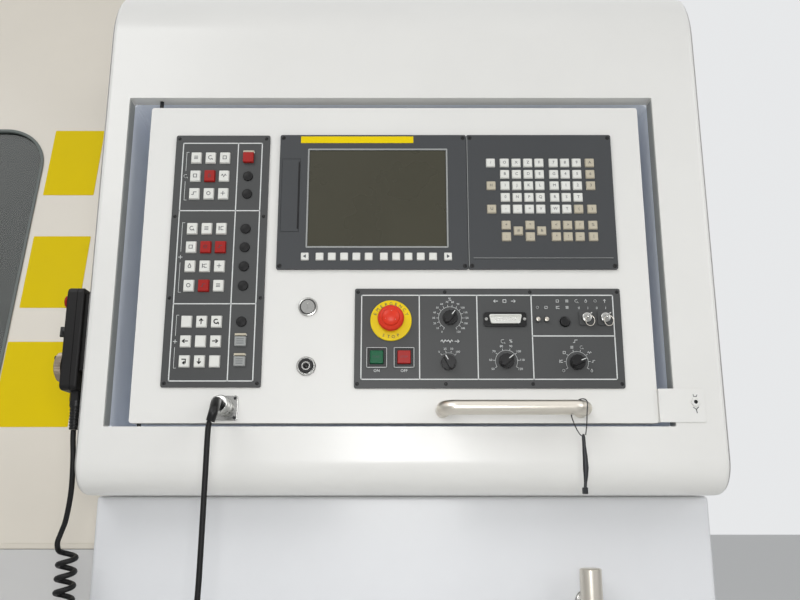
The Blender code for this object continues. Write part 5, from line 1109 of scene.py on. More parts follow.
def make_operator_plate():
    """Right-hand plate: printed lines, dials' figures, toggles and the port."""
    rise = chosen().mark_rise
    raised, holes = Shape(), Shape()
    for x, y in PUSH_BUTTONS:
        raised.tile(x, y, 0.0285, 0.0285, OPERATOR, -0.001, 0.003, 0.0006, 0.001)
        holes.tile(x, y, 0.0207, 0.0207, OPERATOR, -0.01, 0.01)
    for seats, width, height in ((KEY_SWITCHES, 0.0205, 0.0205), (TOGGLES, 0.006, 0.009)):
        for x, y in seats:
            raised.tile(x, y, width, height, OPERATOR, -0.001, 0.003, 0.0005, 0.001)
    rounds = [(*STOP_BUTTON, 0.0116), (*CHECK_BUTTON, 0.0081)]
    rounds += [(x, y, SHAFT_BORE) for x, y, *_ in (*KEY_SWITCHES, *KNOBS.values())]
    for x, y, radius in rounds:
        holes.prism(circle(x, y, radius, 40), OPERATOR, -0.08, 0.02)
    unit_skin("operator_plate", OPERATOR, 0.4, 0.1515, 0.003, "plate_plastic", [holes], [raised])
    lines = Shape().loop(rectangle(0.0103, 0.0135, 0.378, 0.1275), PLATE_LINE, OPERATOR, rise)
    for x in (0.097, 0.1836, 0.2655):
        lines.stroke([(x, 0.0135), (x, 0.141)], PLATE_LINE, OPERATOR, rise)
    lines.stroke([(0.2655, 0.0785), (0.3883, 0.0785)], PLATE_LINE, OPERATOR, rise)
    for x, y in PUSH_BUTTONS:
        lines.loop(rectangle(x - 0.0146, y - 0.0146, 0.0292, 0.0292), 0.0009, OPERATOR, rise + 0.003)
    for mark, x, y, height in (("ON", 0.0335, 0.0262, 0.0042), ("OFF", 0.074, 0.0262, 0.0042),
                               ("%", 0.143, 0.1345, 0.0052), ("%", 0.233, 0.0705, 0.005)):
        lines.write(mark, x, y, height, OPERATOR)
    signs = [("wave", 0.133, 0.0705, 0.009), ("wave", 0.1425, 0.0705, 0.009), ("right", 0.153, 0.0705, 0.008),
             ("cycle", 0.221, 0.0705, 0.0075), ("step", 0.329, 0.0705, 0.0075),
             ("left", 0.212, 0.132, 0.0075), ("square", 0.2253, 0.132, 0.0075),
             ("right", 0.2386, 0.132, 0.0075)]
    signs += [(picture, 0.305 + k * 0.0142, 0.1322, 0.0062)
              for k, picture in enumerate(["square", "bars", "cycle", "drop", "ring", "up"])]
    signs += [(picture, x, 0.1222, 0.006)
              for x, picture in ((0.2746, "ring"), (0.2875, "square"), (0.305, "jaw"), (0.3192, "bars"))]
    for sign in signs:
        lines.icon(*sign, OPERATOR, rise)
    for k, figure in enumerate("0101"):
        lines.write(figure, 0.337 + k * 0.0134, 0.1212, 0.0038, OPERATOR)
    dials = [("feed_knob", 0.0172, -60, 240, 0.003, 0.0246, [str(10 * k) for k in range(15, -1, -1)]),
             ("rapid_knob", 0.015, 50, 130, 0.0032, 0.0215, ["100", "50", "25", "0"]),
             ("spindle_knob", 0.0165, -30, 210, 0.0034, 0.0234,
              ["120", "110", "100", "90", "80", "70", "60", "50"]),
             ("mode_knob", 0.0165, -30, 210, 0.0058, 0.024, ["drop", "step", "wave", "cycle", "bars",
                                                             "square", "jaw", "ring"])]
    for name, radius, start, end, height, reach, faces in dials:
        x, y, _ = KNOBS[name]
        lines.stroke([(x + px, y + py) for px, py in arc_points(start, end, radius, 24)], 0.0005, OPERATOR,
                     rise)
        tick = Shape().tile(0.0016, 0, 0.0032, 0.0006, Matrix(), 0.0, rise)
        step = (end - start) / (len(faces) - 1)
        grow(name + "_ticks", ring_tree(), tick, "white_ink", "panel", OPERATOR @ shift(x, y, 0),
             Count=len(faces), Radius=radius, Start=radians(start), Step=radians(step))
        for k, face in enumerate(faces):
            angle = radians(start + step * k)
            px, py = x + reach * cos(angle), y + reach * sin(angle)
            if face in ICONS:
                lines.icon(face, px, py, height, OPERATOR, rise)
            else:
                lines.write(face, px, py, height, OPERATOR)
    piece("operator_lines", lines, "white_ink", "panel")
    plate_screws("operator_screws", OPERATOR, (0.0048, 0.1355, 0.264, 0.395), (0.0066, 0.146))

    port = OPERATOR @ shift(0.2253, 0.1034, 0.0033)
    holder = Shape().prism(rectangle(-0.032, -0.011, 0.064, 0.022, 0.004, 4), port, -0.003, 0.0004, 0.0008, 2)
    piece("port_plate", holder, "black_plastic", "panel", ["serial_port"])
    sides = [(-0.0215, -0.0068), (0.0215, -0.0068), (0.0245, 0.0068), (-0.0245, 0.0068)]
    outer = Shape().prism(rounded(sides, [0.002] * 4, 4), port, 0.0002, 0.005, 0.0005, 2)
    inner = [(x * 0.93, y * 0.72) for x, y in sides]
    well = Shape().prism(rounded(inner, [0.0015] * 4, 4), port, 0.0022, 0.009)
    piece("port_shell", carve(outer, [well]), "key_plastic", "panel")
    pin = Shape().turn([(0, 0.0014), (0.0007, 0.0012), (0.0007, -0.0002), (0, -0.0002)], Matrix(), 10)
    pins = [(-0.0164 + 0.0041 * k, 0.0018, 0.0023) for k in range(9)]
    pins += [(-0.0143 + 0.0041 * k, -0.0018, 0.0023) for k in range(8)]
    scatter("port_pins", pin, "bright_metal", "panel", port, pins)
    scatter("port_screws", bolt_stamp(0.0024, 0.0022), "bright_metal", "panel", port,
            [(-0.0285, 0.0, 0.0004), (0.0285, 0.0, 0.0004)])

    toggle = Shape().turn([(0, 0.0072), (0.0012, 0.007), (0.0016, 0.0062), (0.0011, 0.0022), (0.003, 0.002),
                           (0.0034, 0.001), (0.0034, 0.0002), (0, 0.0002)], Matrix(), 20)
    scatter("tiny_toggles", toggle, "satin_metal", "panel", OPERATOR, [(x, y, 0.003) for x, y in TOGGLES])


def make_stop():
    """Emergency stop: yellow collar, printed legend and a stepped mushroom head."""
    rise = chosen().mark_rise
    plane = OPERATOR @ shift(*STOP_BUTTON, 0)
    top, crest = 0.0043, 0.0341  # where the collar's legend and the head's arrows lie
    collar = Shape().turn([(0.0116, top), (0.0298, top), (0.0306, 0.0038), (0.031, 0.003),
                           (0.031, 0.0003), (0.0116, 0.0003)], plane, 72, ring=True)
    piece("stop_collar", collar, "yellow_plastic", "panel", ["estop_collar"])
    legend = Shape()
    for text, middle, step, side in (("EMERGENCY", 90, -17, 0), ("STOP", 270, 17, 180)):
        for k, letter in enumerate(text):
            angle = middle + (k - (len(text) - 1) / 2) * step
            x, y = (0.0253 * f(radians(angle)) for f in (cos, sin))
            legend.write(letter, x, y, 0.0048, plane, top, angle - 90 + side)
    piece("stop_legend", legend, "dark_ink", "panel")
    head = Shape().turn([(0, 0.035), (0.006, 0.0347), (0.01, 0.0338), (0.0124, 0.0322), (0.013, 0.03),
                         (0.0138, 0.0286), (0.0165, 0.0276), (0.0186, 0.0252), (0.0195, 0.0222),
                         (0.0195, 0.019), (0.0188, 0.0162), (0.0168, 0.0134), (0.0112, 0.013),
                         (0.011, -0.018), (0, -0.018)], plane, 72)
    piece("stop_head", head, "stop_plastic", "estop_button_body", ["estop_button"])
    arrows = Shape()
    for start in (20, 140, 260):
        arc = arc_points(start, start + 70, 0.0072, 8)
        arrows.stroke(arc, 0.0009, plane, rise, crest)
        end, spread = Vector(arc[-1]), radians(start + 70)
        back = Vector((sin(spread), -cos(spread))) * 0.0022
        out = Vector((cos(spread), sin(spread))) * 0.0017
        barb = end + back * 0.6
        arrows.prism([barb - out, barb + out, end - back * 0.4], plane, crest, crest + rise)
    piece("stop_arrows", arrows, "white_ink", "estop_button_body")


def make_buttons():
    """Start and stop buttons with their frames, and the round check button."""
    looks = [("start_button", "green_plastic", "START"), ("stop_button", "red_plastic", "STOP")]
    for (x, y), (node, paint, word) in zip(PUSH_BUTTONS, looks):
        plane = OPERATOR @ shift(x, y, 0)
        cap = Shape().prism(rectangle(-0.00975, -0.00975, 0.0195, 0.0195, 0.0012, 3), plane, -0.016, 0.008,
                            0.0012, 3)
        piece(node + "_cap", cap, paint, node + "_body", [node])
        word_mark = Shape().write(word, 0, 0, 0.0032, plane, 0.0079)
        piece(node + "_word", word_mark, "dark_ink", node + "_body")
        rim = Shape().band(rectangle(-0.01425, -0.01425, 0.0285, 0.0285, 0.001, 3),
                           rectangle(-0.011, -0.011, 0.022, 0.022, 0.001, 3), plane, 0.0028, 0.0036)
        piece(node + "_rim", rim, "black_plastic", "panel")
    plane = OPERATOR @ shift(*CHECK_BUTTON, 0)
    check = Shape().turn([(0, 0.0038), (0.0052, 0.0036), (0.0066, 0.004), (0.0073, 0.0034), (0.0075, 0.0024),
                          (0.0075, -0.018), (0, -0.018)], plane, 40)
    piece("check_button_cap", check, "black_plastic", "check_button_body", ["check_button"])


def make_knobs():
    """Dial knobs with a scalloped skirt, a gripping wing and a white pointer."""
    rise = chosen().mark_rise
    for node, (x, y, turn) in KNOBS.items():
        plane = OPERATOR @ shift(x, y, LIFT) @ spin(-turn)
        body = Shape().prism(wavy(0.0112, 0.0003, 12, 96), plane, 0.0, 0.0055, 0.001, 2)
        body.prism(circle(0, 0, 0.0095, 48), plane, 0.005, 0.0078, 0.0008, 2)
        wing = rounded([(-0.0046, -0.0108), (0.0046, -0.0108), (0.0026, 0.0112), (-0.0026, 0.0112)],
                       [0.003, 0.003, 0.0016, 0.0016], 5)
        body.prism(wing, plane, 0.004, 0.017, 0.0014, 3)
        body.prism(circle(0, 0, 0.003, 20), plane, -0.018, 0.001)
        piece(node + "_body_shape", body, "black_plastic", node + "_body", [node])
        pointer = Shape().stroke([(0, 0.0035), (0, 0.01)], 0.0012, plane, rise, 0.017)
        pointer.prism([(-0.0006, 0.0104), (0.0006, 0.0104), (0.0006, 0.0114), (-0.0006, 0.0114)], plane,
                      0.006, 0.0168)
        piece(node + "_pointer", pointer, "white_ink", node + "_body")


def make_key_switches():
    """Plated barrels with their keys in, each key with a small ring hanging from it."""
    for node, (x, y) in zip(("left_key_switch", "right_key_switch"), KEY_SWITCHES):
        plane = OPERATOR @ shift(x, y, 0.0033) @ spin(-45)
        body = node + "_body"
        barrel = Shape().turn([(0.0028, 0.0082), (0.0062, 0.0082), (0.0071, 0.0076), (0.0075, 0.0066),
                               (0.0075, 0.0), (0.0028, 0.0)], plane, 48, ring=True)
        barrel.prism(circle(0, 0, 0.0028, 24), plane, 0.0, 0.0074)
        piece(node + "_barrel", barrel, "bright_metal", body, [node])
        outline = rounded([(-0.0022, 0.007), (0.0022, 0.007), (0.0022, 0.012), (0.006, 0.015), (0.006, 0.025),
                           (-0.006, 0.025), (-0.006, 0.015), (-0.0022, 0.012)],
                          [0, 0, 0.001, 0.002, 0.003, 0.003, 0.002, 0.001], 4)
        bow = Shape().prism(outline, plane @ SIDE, -0.0009, 0.0009)
        eye = Shape().prism(circle(0, 0.022, 0.0016, 16), plane @ SIDE, -0.01, 0.01)
        piece(node + "_key", carve(bow, [eye], edge=0.0003, segments=1), "bright_metal", body)
        hang = plane @ spin(45)
        centre = hang @ Vector((0.0006, -0.0085, 0.0225))
        loop = [centre + Vector((0.0016 * sin(t), 0.0, 0.0078 * cos(t))) + Vector((0.005 * sin(t), 0, 0))
                for t in (tau * k / 28 for k in range(29))]
        piece(node + "_ring", Shape().sweep(loop, 0.0005, 8), "satin_metal", body)


def make_handles():
    """Bow handle of the panel, its hanging tool, the door's pull and the lower cover's bar."""
    low = PANEL @ Vector((0.459, HANDLE_RISE, LIFT))
    high = PANEL @ Vector((HANDLE_END, HANDLE_RISE, LIFT))
    out = Vector((0, -0.0477, 0))
    line = bent([low, low + out, high + out, high], 0.018, 12)
    piece("panel_bow_handle", Shape().sweep(line, 0.0104, 28), "satin_metal", "panel", ["panel_handle"])

    bar = high + out + Vector((-0.012, 0, 0))  # where the tool's wire goes round the bar
    loop = [(0.0048, -0.0125, -0.04), (0.0068, -0.0125, -0.028), (0.0085, -0.012, -0.01),
            (0.01, -0.0092, 0.007), (0.005, 0.0, 0.0117), (-0.003, 0.0092, 0.007), (-0.009, 0.01, -0.008),
            (-0.0075, -0.004, -0.026), (-0.003, -0.0125, -0.039), (0.0008, -0.013, -0.0415)]
    tag = Shape().sweep(smooth_route([bar + Vector(point) for point in loop], 0.002), 0.0008, 8)
    foot = bar + Vector((0.0018, -0.0125, -0.0385))
    drops = [(0, 0.0014, 0), (0.004, 0.0024, 0), (0.016, 0.0026, 0.0002), (0.03, 0.0034, 0.0008),
             (0.046, 0.004, 0.001), (0.058, 0.003, 0.0004), (0.066, 0.0022, -0.0004), (0.072, 0.0022, -0.001)]
    tag.sweep([foot + Vector((side, 0, -drop)) for drop, _, side in drops], [wide for _, wide, _ in drops],
              14)
    hook = Matrix.Translation(foot + Vector((-0.0012, 0, -0.0765))) @ FRONT
    tag.prism(rectangle(-0.004, -0.0045, 0.0075, 0.009, 0.0012, 3), hook, -0.0022, 0.0022, 0.0008, 2)
    piece("hanging_tool", tag, "tool_black", "panel", ["key_tag"])

    door_line = [(-0.42, 0.3, 0.0003), (-0.42, 0.3, 0.058), (-0.42, 0.62, 0.058), (-0.42, 0.62, 0.0003)]
    line = bent([DOOR @ Vector(point) for point in door_line], 0.018, 12)
    piece("door_bow_handle", Shape().sweep(line, 0.01, 28), "satin_metal", "door", ["door_handle"])
    feet = Shape()
    for y in (0.3, 0.62):
        foot = DOOR @ shift(-0.42, y, 0)
        feet.turn([(0.0102, 0.004), (0.015, 0.0036), (0.0165, 0.0022), (0.0165, 0.0003), (0.0102, 0.0003)],
                  foot, 40, ring=True)
    piece("door_handle_feet", feet, "satin_metal", "door")

    bar = shift(1.75, -0.757, 0.6)
    grip = Shape().turn([(0, 0.389), (0.0128, 0.3889), (0.0148, 0.3882), (0.016, 0.3866), (0.016, 0.0024),
                         (0.0148, 0.0008), (0.0128, 0), (0, 0)], bar, 48)
    piece("tower_bar", grip, "satin_metal", "machine", ["tower_handle"])
    posts = Shape()
    for height in (0.65, 0.939):
        post = shift(1.75, -0.7073, height) @ FRONT
        posts.turn([(0, 0.046), (0.008, 0.046), (0.008, 0.004), (0.013, 0.0032), (0.0145, 0.0016),
                    (0.0145, 0), (0, 0)], post, 32)
    piece("tower_bar_posts", posts, "bright_metal", "machine")


# Handheld unit and connector
def make_pendant():
    """Handheld unit: housing, gland, wheel, selector and stop."""
    low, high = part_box("pendant_body")
    middle, bottom = (low.y + high.y) / 2, high.z - CASE_DROP
    front, width = low.y + CASE_STEP, high.y - low.y - CASE_STEP
    seam = Shape().band(rectangle(front - 0.01, bottom - 0.01, width + 0.02, CASE_HEIGHT + 0.02, 0.004, 5),
                        rectangle(front + 0.0008, bottom + 0.0008, width - 0.0016, CASE_HEIGHT - 0.0016,
                                  0.007, 5), SIDE, low.x + 0.0155, low.x + 0.0167)
    holes = Shape()
    for rise in (WHEEL_RISE, SELECTOR_RISE, STOP_RISE):
        holes.prism(circle(middle, bottom + rise, SHAFT_BORE, 24), SIDE, low.x - 0.014, low.x + 0.01)
    case = Shape().prism(rectangle(front, bottom, width, CASE_HEIGHT, 0.008, 6), SIDE, low.x, high.x)
    piece("pendant_case", carve(rolled(case, 0.0035, 4), [holes, seam]), "pendant_plastic", "machine",
          ["pendant_body"])
    gland = shift(low.x + 0.02, middle, bottom)
    nut = Shape().prism(circle(0, 0, 0.0104, 6), gland, -0.014, 0.0001)
    nut.turn([(0, -0.0138), (0.009, -0.0138), (0.009, -0.0215), (0, -0.0215)], gland, 32)
    piece("pendant_gland", nut, "black_plastic", "machine")
    profile = [(0, -0.0212), (0.0086, -0.0212)]
    for k in range(7):
        top = -0.0235 - 0.0045 * k
        profile += [(0.0084 - 0.0002 * k, top), (0.0074 - 0.0002 * k, top - 0.0012),
                    (0.0074 - 0.0002 * k, top - 0.0026), (0.0082 - 0.0002 * k, top - 0.0036)]
    profile += [(0.0066, low.z - bottom + 0.0004), (0, low.z - bottom + 0.0004)]
    piece("pendant_boot", Shape().turn(profile, gland, 28), "black_plastic", "machine")

    wheel = shift(low.x, middle, bottom + WHEEL_RISE) @ LEFTWARD
    rim = Shape().prism(wavy(0.0216, 0.0004, 60, 300), wheel, 0.0003, 0.0095, 0.0012, 2)
    rim.turn([(0, 0.0123), (0.0165, 0.0123), (0.018, 0.0112), (0.0184, 0.009), (0, 0.009)], wheel, 64)
    rim.prism(circle(0, 0, 0.003, 20), wheel, -0.006, 0.001)
    piece("pendant_wheel_rim", rim, "wheel_metal", "pendant_wheel_body", ["pendant_wheel"])
    grip = wheel @ shift(0, 0.0138, 0)
    knob = Shape().turn([(0, 0.0178), (0.0032, 0.0175), (0.004, 0.0165), (0.0035, 0.014), (0.004, 0.0121),
                         (0, 0.0121)], grip, 24)
    piece("pendant_wheel_grip", knob, "black_plastic", "pendant_wheel_body")
    tick = Shape().tile(-0.0011, 0, 0.002, 0.0005, Matrix(), 0.0, 0.00015)
    grow("pendant_wheel_ticks", ring_tree(), tick, "dark_ink", "pendant_wheel_body",
         wheel @ shift(0, 0, 0.0123), Count=50, Radius=0.0163, Start=0.0, Step=tau / 50)

    selector = shift(low.x, middle, bottom + SELECTOR_RISE) @ LEFTWARD
    knob = Shape().turn([(0, 0.0085), (0.0062, 0.0085), (0.0072, 0.007), (0.0072, 0.0003), (0.003, 0.0003),
                         (0.003, -0.006), (0, -0.006)], selector, 36)
    knob.prism(rounded([(-0.003, -0.008), (0.003, -0.008), (0.002, 0.008), (-0.002, 0.008)],
                       [0.002, 0.002, 0.001, 0.001], 4), selector, 0.007, 0.0133, 0.001, 2)
    piece("pendant_selector_knob", knob, "black_plastic", "pendant_selector_body", ["pendant_selector"])
    stop = shift(low.x, middle, bottom + STOP_RISE) @ LEFTWARD
    cap = Shape().turn([(0, 0.0096), (0.005, 0.0094), (0.008, 0.0087), (0.0095, 0.0072), (0.0095, 0.0054),
                        (0.0085, 0.0042), (0.003, 0.004), (0.003, -0.006), (0, -0.006)], stop, 40)
    piece("pendant_stop_cap", cap, "red_plastic", "pendant_stop_body", ["pendant_stop"])


def make_connector():
    """Square flange with an angled shell, the plug's bright ring pushed on it and the leaning boot."""
    base = PANEL @ shift(0.1405, 0.022, LIFT)
    slant = base @ spin(-SHELL_YAW, "Y") @ spin(-SHELL_PITCH, "X")
    shell = Shape().turn([(0, 0.014), (0.0128, 0.014), (0.0136, 0.0132), (0.0136, 0.0104), (0.013, 0.0098),
                          (0.013, 0.008), (0.0136, 0.0074), (0.0136, -0.012), (0, -0.012)], slant, 56)
    behind = Shape().tile(0, 0, 0.08, 0.08, base, -0.04, 0.001)
    flange = Shape().prism(rectangle(-0.0185, -0.0185, 0.037, 0.037, 0.004, 4), base, 0.0, 0.0025, 0.0007, 2)
    cut = solid(carve(shell, [behind]))
    piece("connector_shell", carve(cut, [], [flange]), "bright_metal", "panel", ["cord_socket"])
    scatter("connector_screws", screw_stamp(0.0023, 0.001), "tool_black", "panel", base,
            grid((-0.0142, 0.0142), (-0.0142, 0.0142), 0.0025))

    ring = Shape().turn([(0, 0.0215), (0.012, 0.0215), (0.0134, 0.0205), (0.0138, 0.0195), (0.0138, 0.0177),
                         (0.0132, 0.0171), (0.0138, 0.0165), (0.0138, 0.0149), (0.013, 0.0143), (0, 0.0143)],
                        slant, 56)
    piece("plug_ring", ring, "bright_metal", "panel")
    start, lean = slant @ Vector((0, 0, 0.0205)), (Vector(LEAD[0]) - Vector(LEAD[1])).normalized()
    end = Vector(LEAD[0]) + lean * 0.0003
    line = smooth_route([start, slant @ Vector((0.0002, -0.0004, 0.029)), end + lean * 0.016, end], 0.0012)
    last = len(line) - 1
    radii = [0.0074 - 0.0012 * (k / last) ** 2 for k in range(last + 1)]
    piece("plug_boot", Shape().sweep(line, radii, 32), "black_plastic", "panel", ["cord_plug"])


# Covers, door and lower cabinet
def make_tower():
    """Lower cover under the console, a pan with rolled edges."""
    low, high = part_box("tower_cabinet")
    width, height = high.x - low.x, high.z - low.z
    shell = rolled(Shape().prism(rectangle(low.x, low.z, width, height), FRONT, -high.y, -low.y), 0.006, 4)
    hollow = Shape().prism(rectangle(low.x + SHEET, low.z + SHEET, width - 2 * SHEET, height - 2 * SHEET),
                           FRONT, -high.y - 0.01, -low.y - SHEET)
    piece("tower_shell", carve(shell, [hollow]), "tower_enamel", "machine", ["tower_cabinet"])
    scatter("tower_screws", screw_stamp(0.006, 0.0014), "satin_metal", "machine", shift(0, low.y, 0) @ FRONT,
            grid((low.x + 0.02, high.x - 0.02), (low.z + 0.02, 0.55)))


def make_door():
    """Sliding door with its rubber-framed window and three bare plates."""
    low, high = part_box("front_door")
    start = (0.04 * sin(DOOR_LEAN) + 0.0003) / cos(DOOR_LEAN)
    top = (high.z - 1.008) / cos(DOOR_LEAN)
    opening = (-0.15, 0.165, 0.9, top - 0.3823 - 0.165)

    def window(grow):
        x, y, width, height = opening
        return rectangle(x - grow, y - grow, width + 2 * grow, height + 2 * grow, 0.087 + grow, 16)

    sheet = rectangle(low.x, start, high.x - low.x, top - start, 0.006, 5)
    pan = rolled(Shape().prism(sheet, DOOR, -0.04, 0.0), 0.0025, 3)
    hollow = Shape().prism(rectangle(low.x + SHEET, start + SHEET, high.x - low.x - 2 * SHEET,
                                     top - start - 2 * SHEET), DOOR, -0.05, -SHEET)
    hole = Shape().prism(window(0.0), DOOR, -0.06, 0.02)
    piece("door_pan", carve(pan, [hollow, hole]), "door_enamel", "door", ["front_door"])
    strip = Shape().prism(rectangle(low.x + 0.002, low.z + 0.0004, high.x - low.x - 0.004, 0.0085), FRONT,
                          0.602, 0.6113, 0.0008, 2)
    piece("door_foot_strip", strip, "door_enamel", "door")
    width = chosen().gasket
    seal = Shape().band(window(width), window(-0.003), DOOR, 0.0003, 0.003)
    seal.band(window(-0.0006), window(-0.003), DOOR, -0.0032, 0.0004)
    piece("window_seal", rolled(seal, 0.0012, 2, 60), "gasket_rubber", "door")
    plates = Shape()
    for x, y, across, up in ((0.764, 0.6785, 0.1, 0.1538), (0.763, 0.4345, 0.11, 0.1513),
                             (0.755, 0.2068, 0.135, 0.1599)):
        plates.prism(rectangle(x, y, across, up, 0.002, 3), DOOR, 0.0001, 0.0007, 0.0002, 1)
    piece("door_plates", plates, "yellow_film", "door")


def make_covers():
    """Folded covers of the enclosure with their seams, screws and rear louvres."""
    edge = chosen().sheet_edge
    refined("headstock_cover", "console_enamel", edge, 3, 30)
    refined("rear_cover", "console_enamel", edge, 3, 30)
    refined("front_apron", "apron_enamel", edge * 0.6, 2)
    low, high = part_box("front_apron")
    face = shift(0, low.y, 0) @ FRONT
    screws = grid((-1.93, -1.45, -0.965, -0.48, 0.005, 0.49, 0.975), (0.3, 0.99))
    scatter("apron_screws", screw_stamp(0.006, 0.0014), "satin_metal", "machine", face, screws)
    seams = Shape()
    for x in (-0.965, 0.005):
        seams.prism(rectangle(x + 0.012, 0.288, 0.003, 0.717), face, -0.0002, 0.0006, 0.0002, 1)
    piece("apron_joints", seams, "gasket_rubber", "machine")

    back = shift(0, 0.6, 0) @ BACK
    for number, x in enumerate((-0.78, -0.62, -0.46)):
        louvre = Shape().prism(rounded([(-0.06, 0), (0.06, 0), (0.056, 0.01), (-0.056, 0.01)],
                                       [0.001, 0.001, 0.004, 0.004], 4), Matrix(), -0.0005, 0.007, 0.003, 3)
        grow(f"rear_louvres_{number + 1}", row_tree(), louvre, "console_enamel", "machine",
             back @ shift(x, 1.05, 0), Count=12, Pitch=(0, 0.02, 0))
    hatches = Shape()
    for x, width in ((-1.45, 0.5), (-0.2, 0.42)):
        hatches.prism(rectangle(x, 0.9, width, 0.62, 0.012, 4), back, 0.0002, 0.004, 0.0015, 3)
    piece("rear_hatches", hatches, "console_enamel", "machine")
    scatter("hatch_screws", screw_stamp(0.005, 0.0014), "satin_metal", "machine", back,
            grid((-1.435, -0.965, -0.185, 0.205), (0.915, 1.21, 1.505), 0.004))


# Castings, spindle and slides
def arch(half, foot, shoulder, radius):
    """Section with a flat foot that closes into a round top about the axis."""
    line = [(-half, foot), (half, foot), (half, foot + shoulder)]
    line += [(radius * cos(radians(-15 + 3.5 * k)), radius * sin(radians(-15 + 3.5 * k))) for k in range(61)]
    return line + [(-half, foot + shoulder)]


def make_castings():
    """Bed, headstock and tailstock with their bolts."""
    edge = chosen().cast_edge
    refined("bed_casting", "cast_enamel", edge * 0.6, 2)
    for node, body, outline, left, right, bore in (
            ("headstock", "machine", arch(0.28, -0.2697, 0.05, 0.17), -1.25, -0.59, 0.0606),
            ("tailstock", "tailstock_body", arch(0.28, -0.2397, 0.06, 0.095), 0.62, 0.9, 0.0456)):
        block = rolled(Shape().prism(outline, BED, left, right), edge, 3, 50)
        hole = Shape().prism(circle(0, 0, bore, 64), BED, left - 0.02, right + 0.02)
        piece(node + "_casting", carve(block, [hole]), "cast_enamel", body, [node])
    flat = spin(-90, "X")
    seats = [BED @ shift(side * 0.245, -0.2197, -1.19 + 0.135 * k) @ flat for side in (-1, 1)
             for k in range(5)]
    grow("headstock_bolts", seat_tree(), bolt_stamp(0.014, 0.014), "bright_metal", "machine", seats=seats)
    seats = [BED @ shift(side * 0.245, -0.1797, x) @ flat for side in (-1, 1) for x in (0.66, 0.76, 0.86)]
    grow("tailstock_bolts", seat_tree(), bolt_stamp(0.012, 0.012), "bright_metal", "tailstock_body",
         seats=seats)


def make_spindle():
    """Spindle with its grooved pulley, the chuck with its rings and bolts, and the jaws."""
    axle = SPINDLE @ SIDE
    base = axle @ shift(0, 0, -1.3203)
    profile = [(0.0985, 0.79), (0.1, 0.7885), (0.1, 0.7306), (0.06, 0.7306), (0.06, 0.07), (0.128, 0.07)]
    for k in range(5):
        top = 0.0655 - 0.0125 * k
        profile += [(0.13, top), (0.118, top - 0.0045), (0.118, top - 0.0055), (0.13, top - 0.01)]
    profile += [(0.128, 0.0), (0.026, 0.0), (0.026, 0.79)]
    piece("spindle_shaft", Shape().turn(profile, base, 96, ring=True), "turned_steel", "work_spindle",
          ["spindle"])

    seat = axle @ shift(0, 0, -0.53)
    profile = [(0.045, 0.108), (0.047, 0.11), (0.072, 0.11), (0.0725, 0.1092), (0.0735, 0.1092),
               (0.074, 0.11), (0.118, 0.11), (0.1185, 0.1092), (0.1195, 0.1092), (0.12, 0.11), (0.1535, 0.11),
               (0.1575, 0.106), (0.1575, 0.072), (0.1562, 0.07), (0.1562, 0.066), (0.1575, 0.064),
               (0.1575, 0.003), (0.155, 0.0), (0.045, 0.0)]
    slots, wells = Shape(), Shape()
    for turn in JAW_TURNS:
        arm = seat @ spin(turn)
        slots.prism(rectangle(0.035, -0.0163, 0.14, 0.0326), arm, 0.098, 0.13)
        for side in (-27, 27):
            spot = arm @ spin(side)
            wells.prism(circle(0.096, 0, 0.0095, 32), spot, 0.095, 0.13)
    disc = Shape().turn(profile, seat, 120, ring=True)
    piece("chuck_disc", carve(disc, [slots, wells]), "turned_steel", "work_spindle", ["chuck"])
    bolts = [seat @ spin(turn + side) @ shift(0.096, 0, 0.0952) for turn in JAW_TURNS for side in (-27, 27)]
    grow("chuck_bolts", seat_tree(), bolt_stamp(0.008, 0.009), "tool_black", "work_spindle", seats=bolts)
    for number, turn in enumerate(JAW_TURNS):
        node = f"chuck_jaw_{number + 1}"
        refined(node, "ground_steel", 0.0012, 2)
        arm = seat @ spin(turn)
        spots = [arm @ shift(0.1253, 0, 0.1323), arm @ shift(0.1, 0, 0.1523)]
        grow(f"jaw_bolts_{number + 1}", seat_tree(), bolt_stamp(0.0075, 0.004), "tool_black", node + "_body",
             seats=spots)


def make_slides():
    """Saddle, cross slide, tool turret and tailstock quill."""
    edge = chosen().cast_edge
    refined("saddle", "ground_steel", edge * 0.4, 2)
    refined("cross_slide", "cast_enamel", edge * 0.6, 3)
    refined("turret_disc", "ground_steel", 0.0014, 2, 50)
    face = BED @ shift(0.4, 0, -0.0703) @ spin(180, "Y")
    numbers = Shape()
    for station in range(12):
        angle = radians(90 - 30 * station)
        numbers.write(str(station + 1), 0.122 * cos(angle), 0.122 * sin(angle), 0.016, face, 0.0,
                      -30 * station)
    piece("turret_numbers", numbers, "dark_ink", "turret")
    hub = Shape().turn([(0, 0.01), (0.04, 0.01), (0.044, 0.006), (0.044, 0.0), (0, 0.0)], face, 64)
    piece("turret_hub", hub, "turned_steel", "turret")
    bolts = [face @ spin(60 * k) @ shift(0.066, 0, 0.0003) for k in range(6)]
    grow("turret_bolts", seat_tree(), bolt_stamp(0.008, 0.008), "tool_black", "turret", seats=bolts)

    tip = shift(0.88, -0.08, 1.1) @ LEFTWARD
    profile = [(0, 0.35), (0.0012, 0.349), (0.016, 0.322), (0.016, 0.3), (0.0405, 0.2985), (0.0442, 0.2965),
               (0.045, 0.294), (0.045, 0.002), (0.043, 0.0), (0, 0.0)]
    piece("quill_sleeve", Shape().turn(profile, tip, 80), "turned_steel", "quill_body", ["quill"])


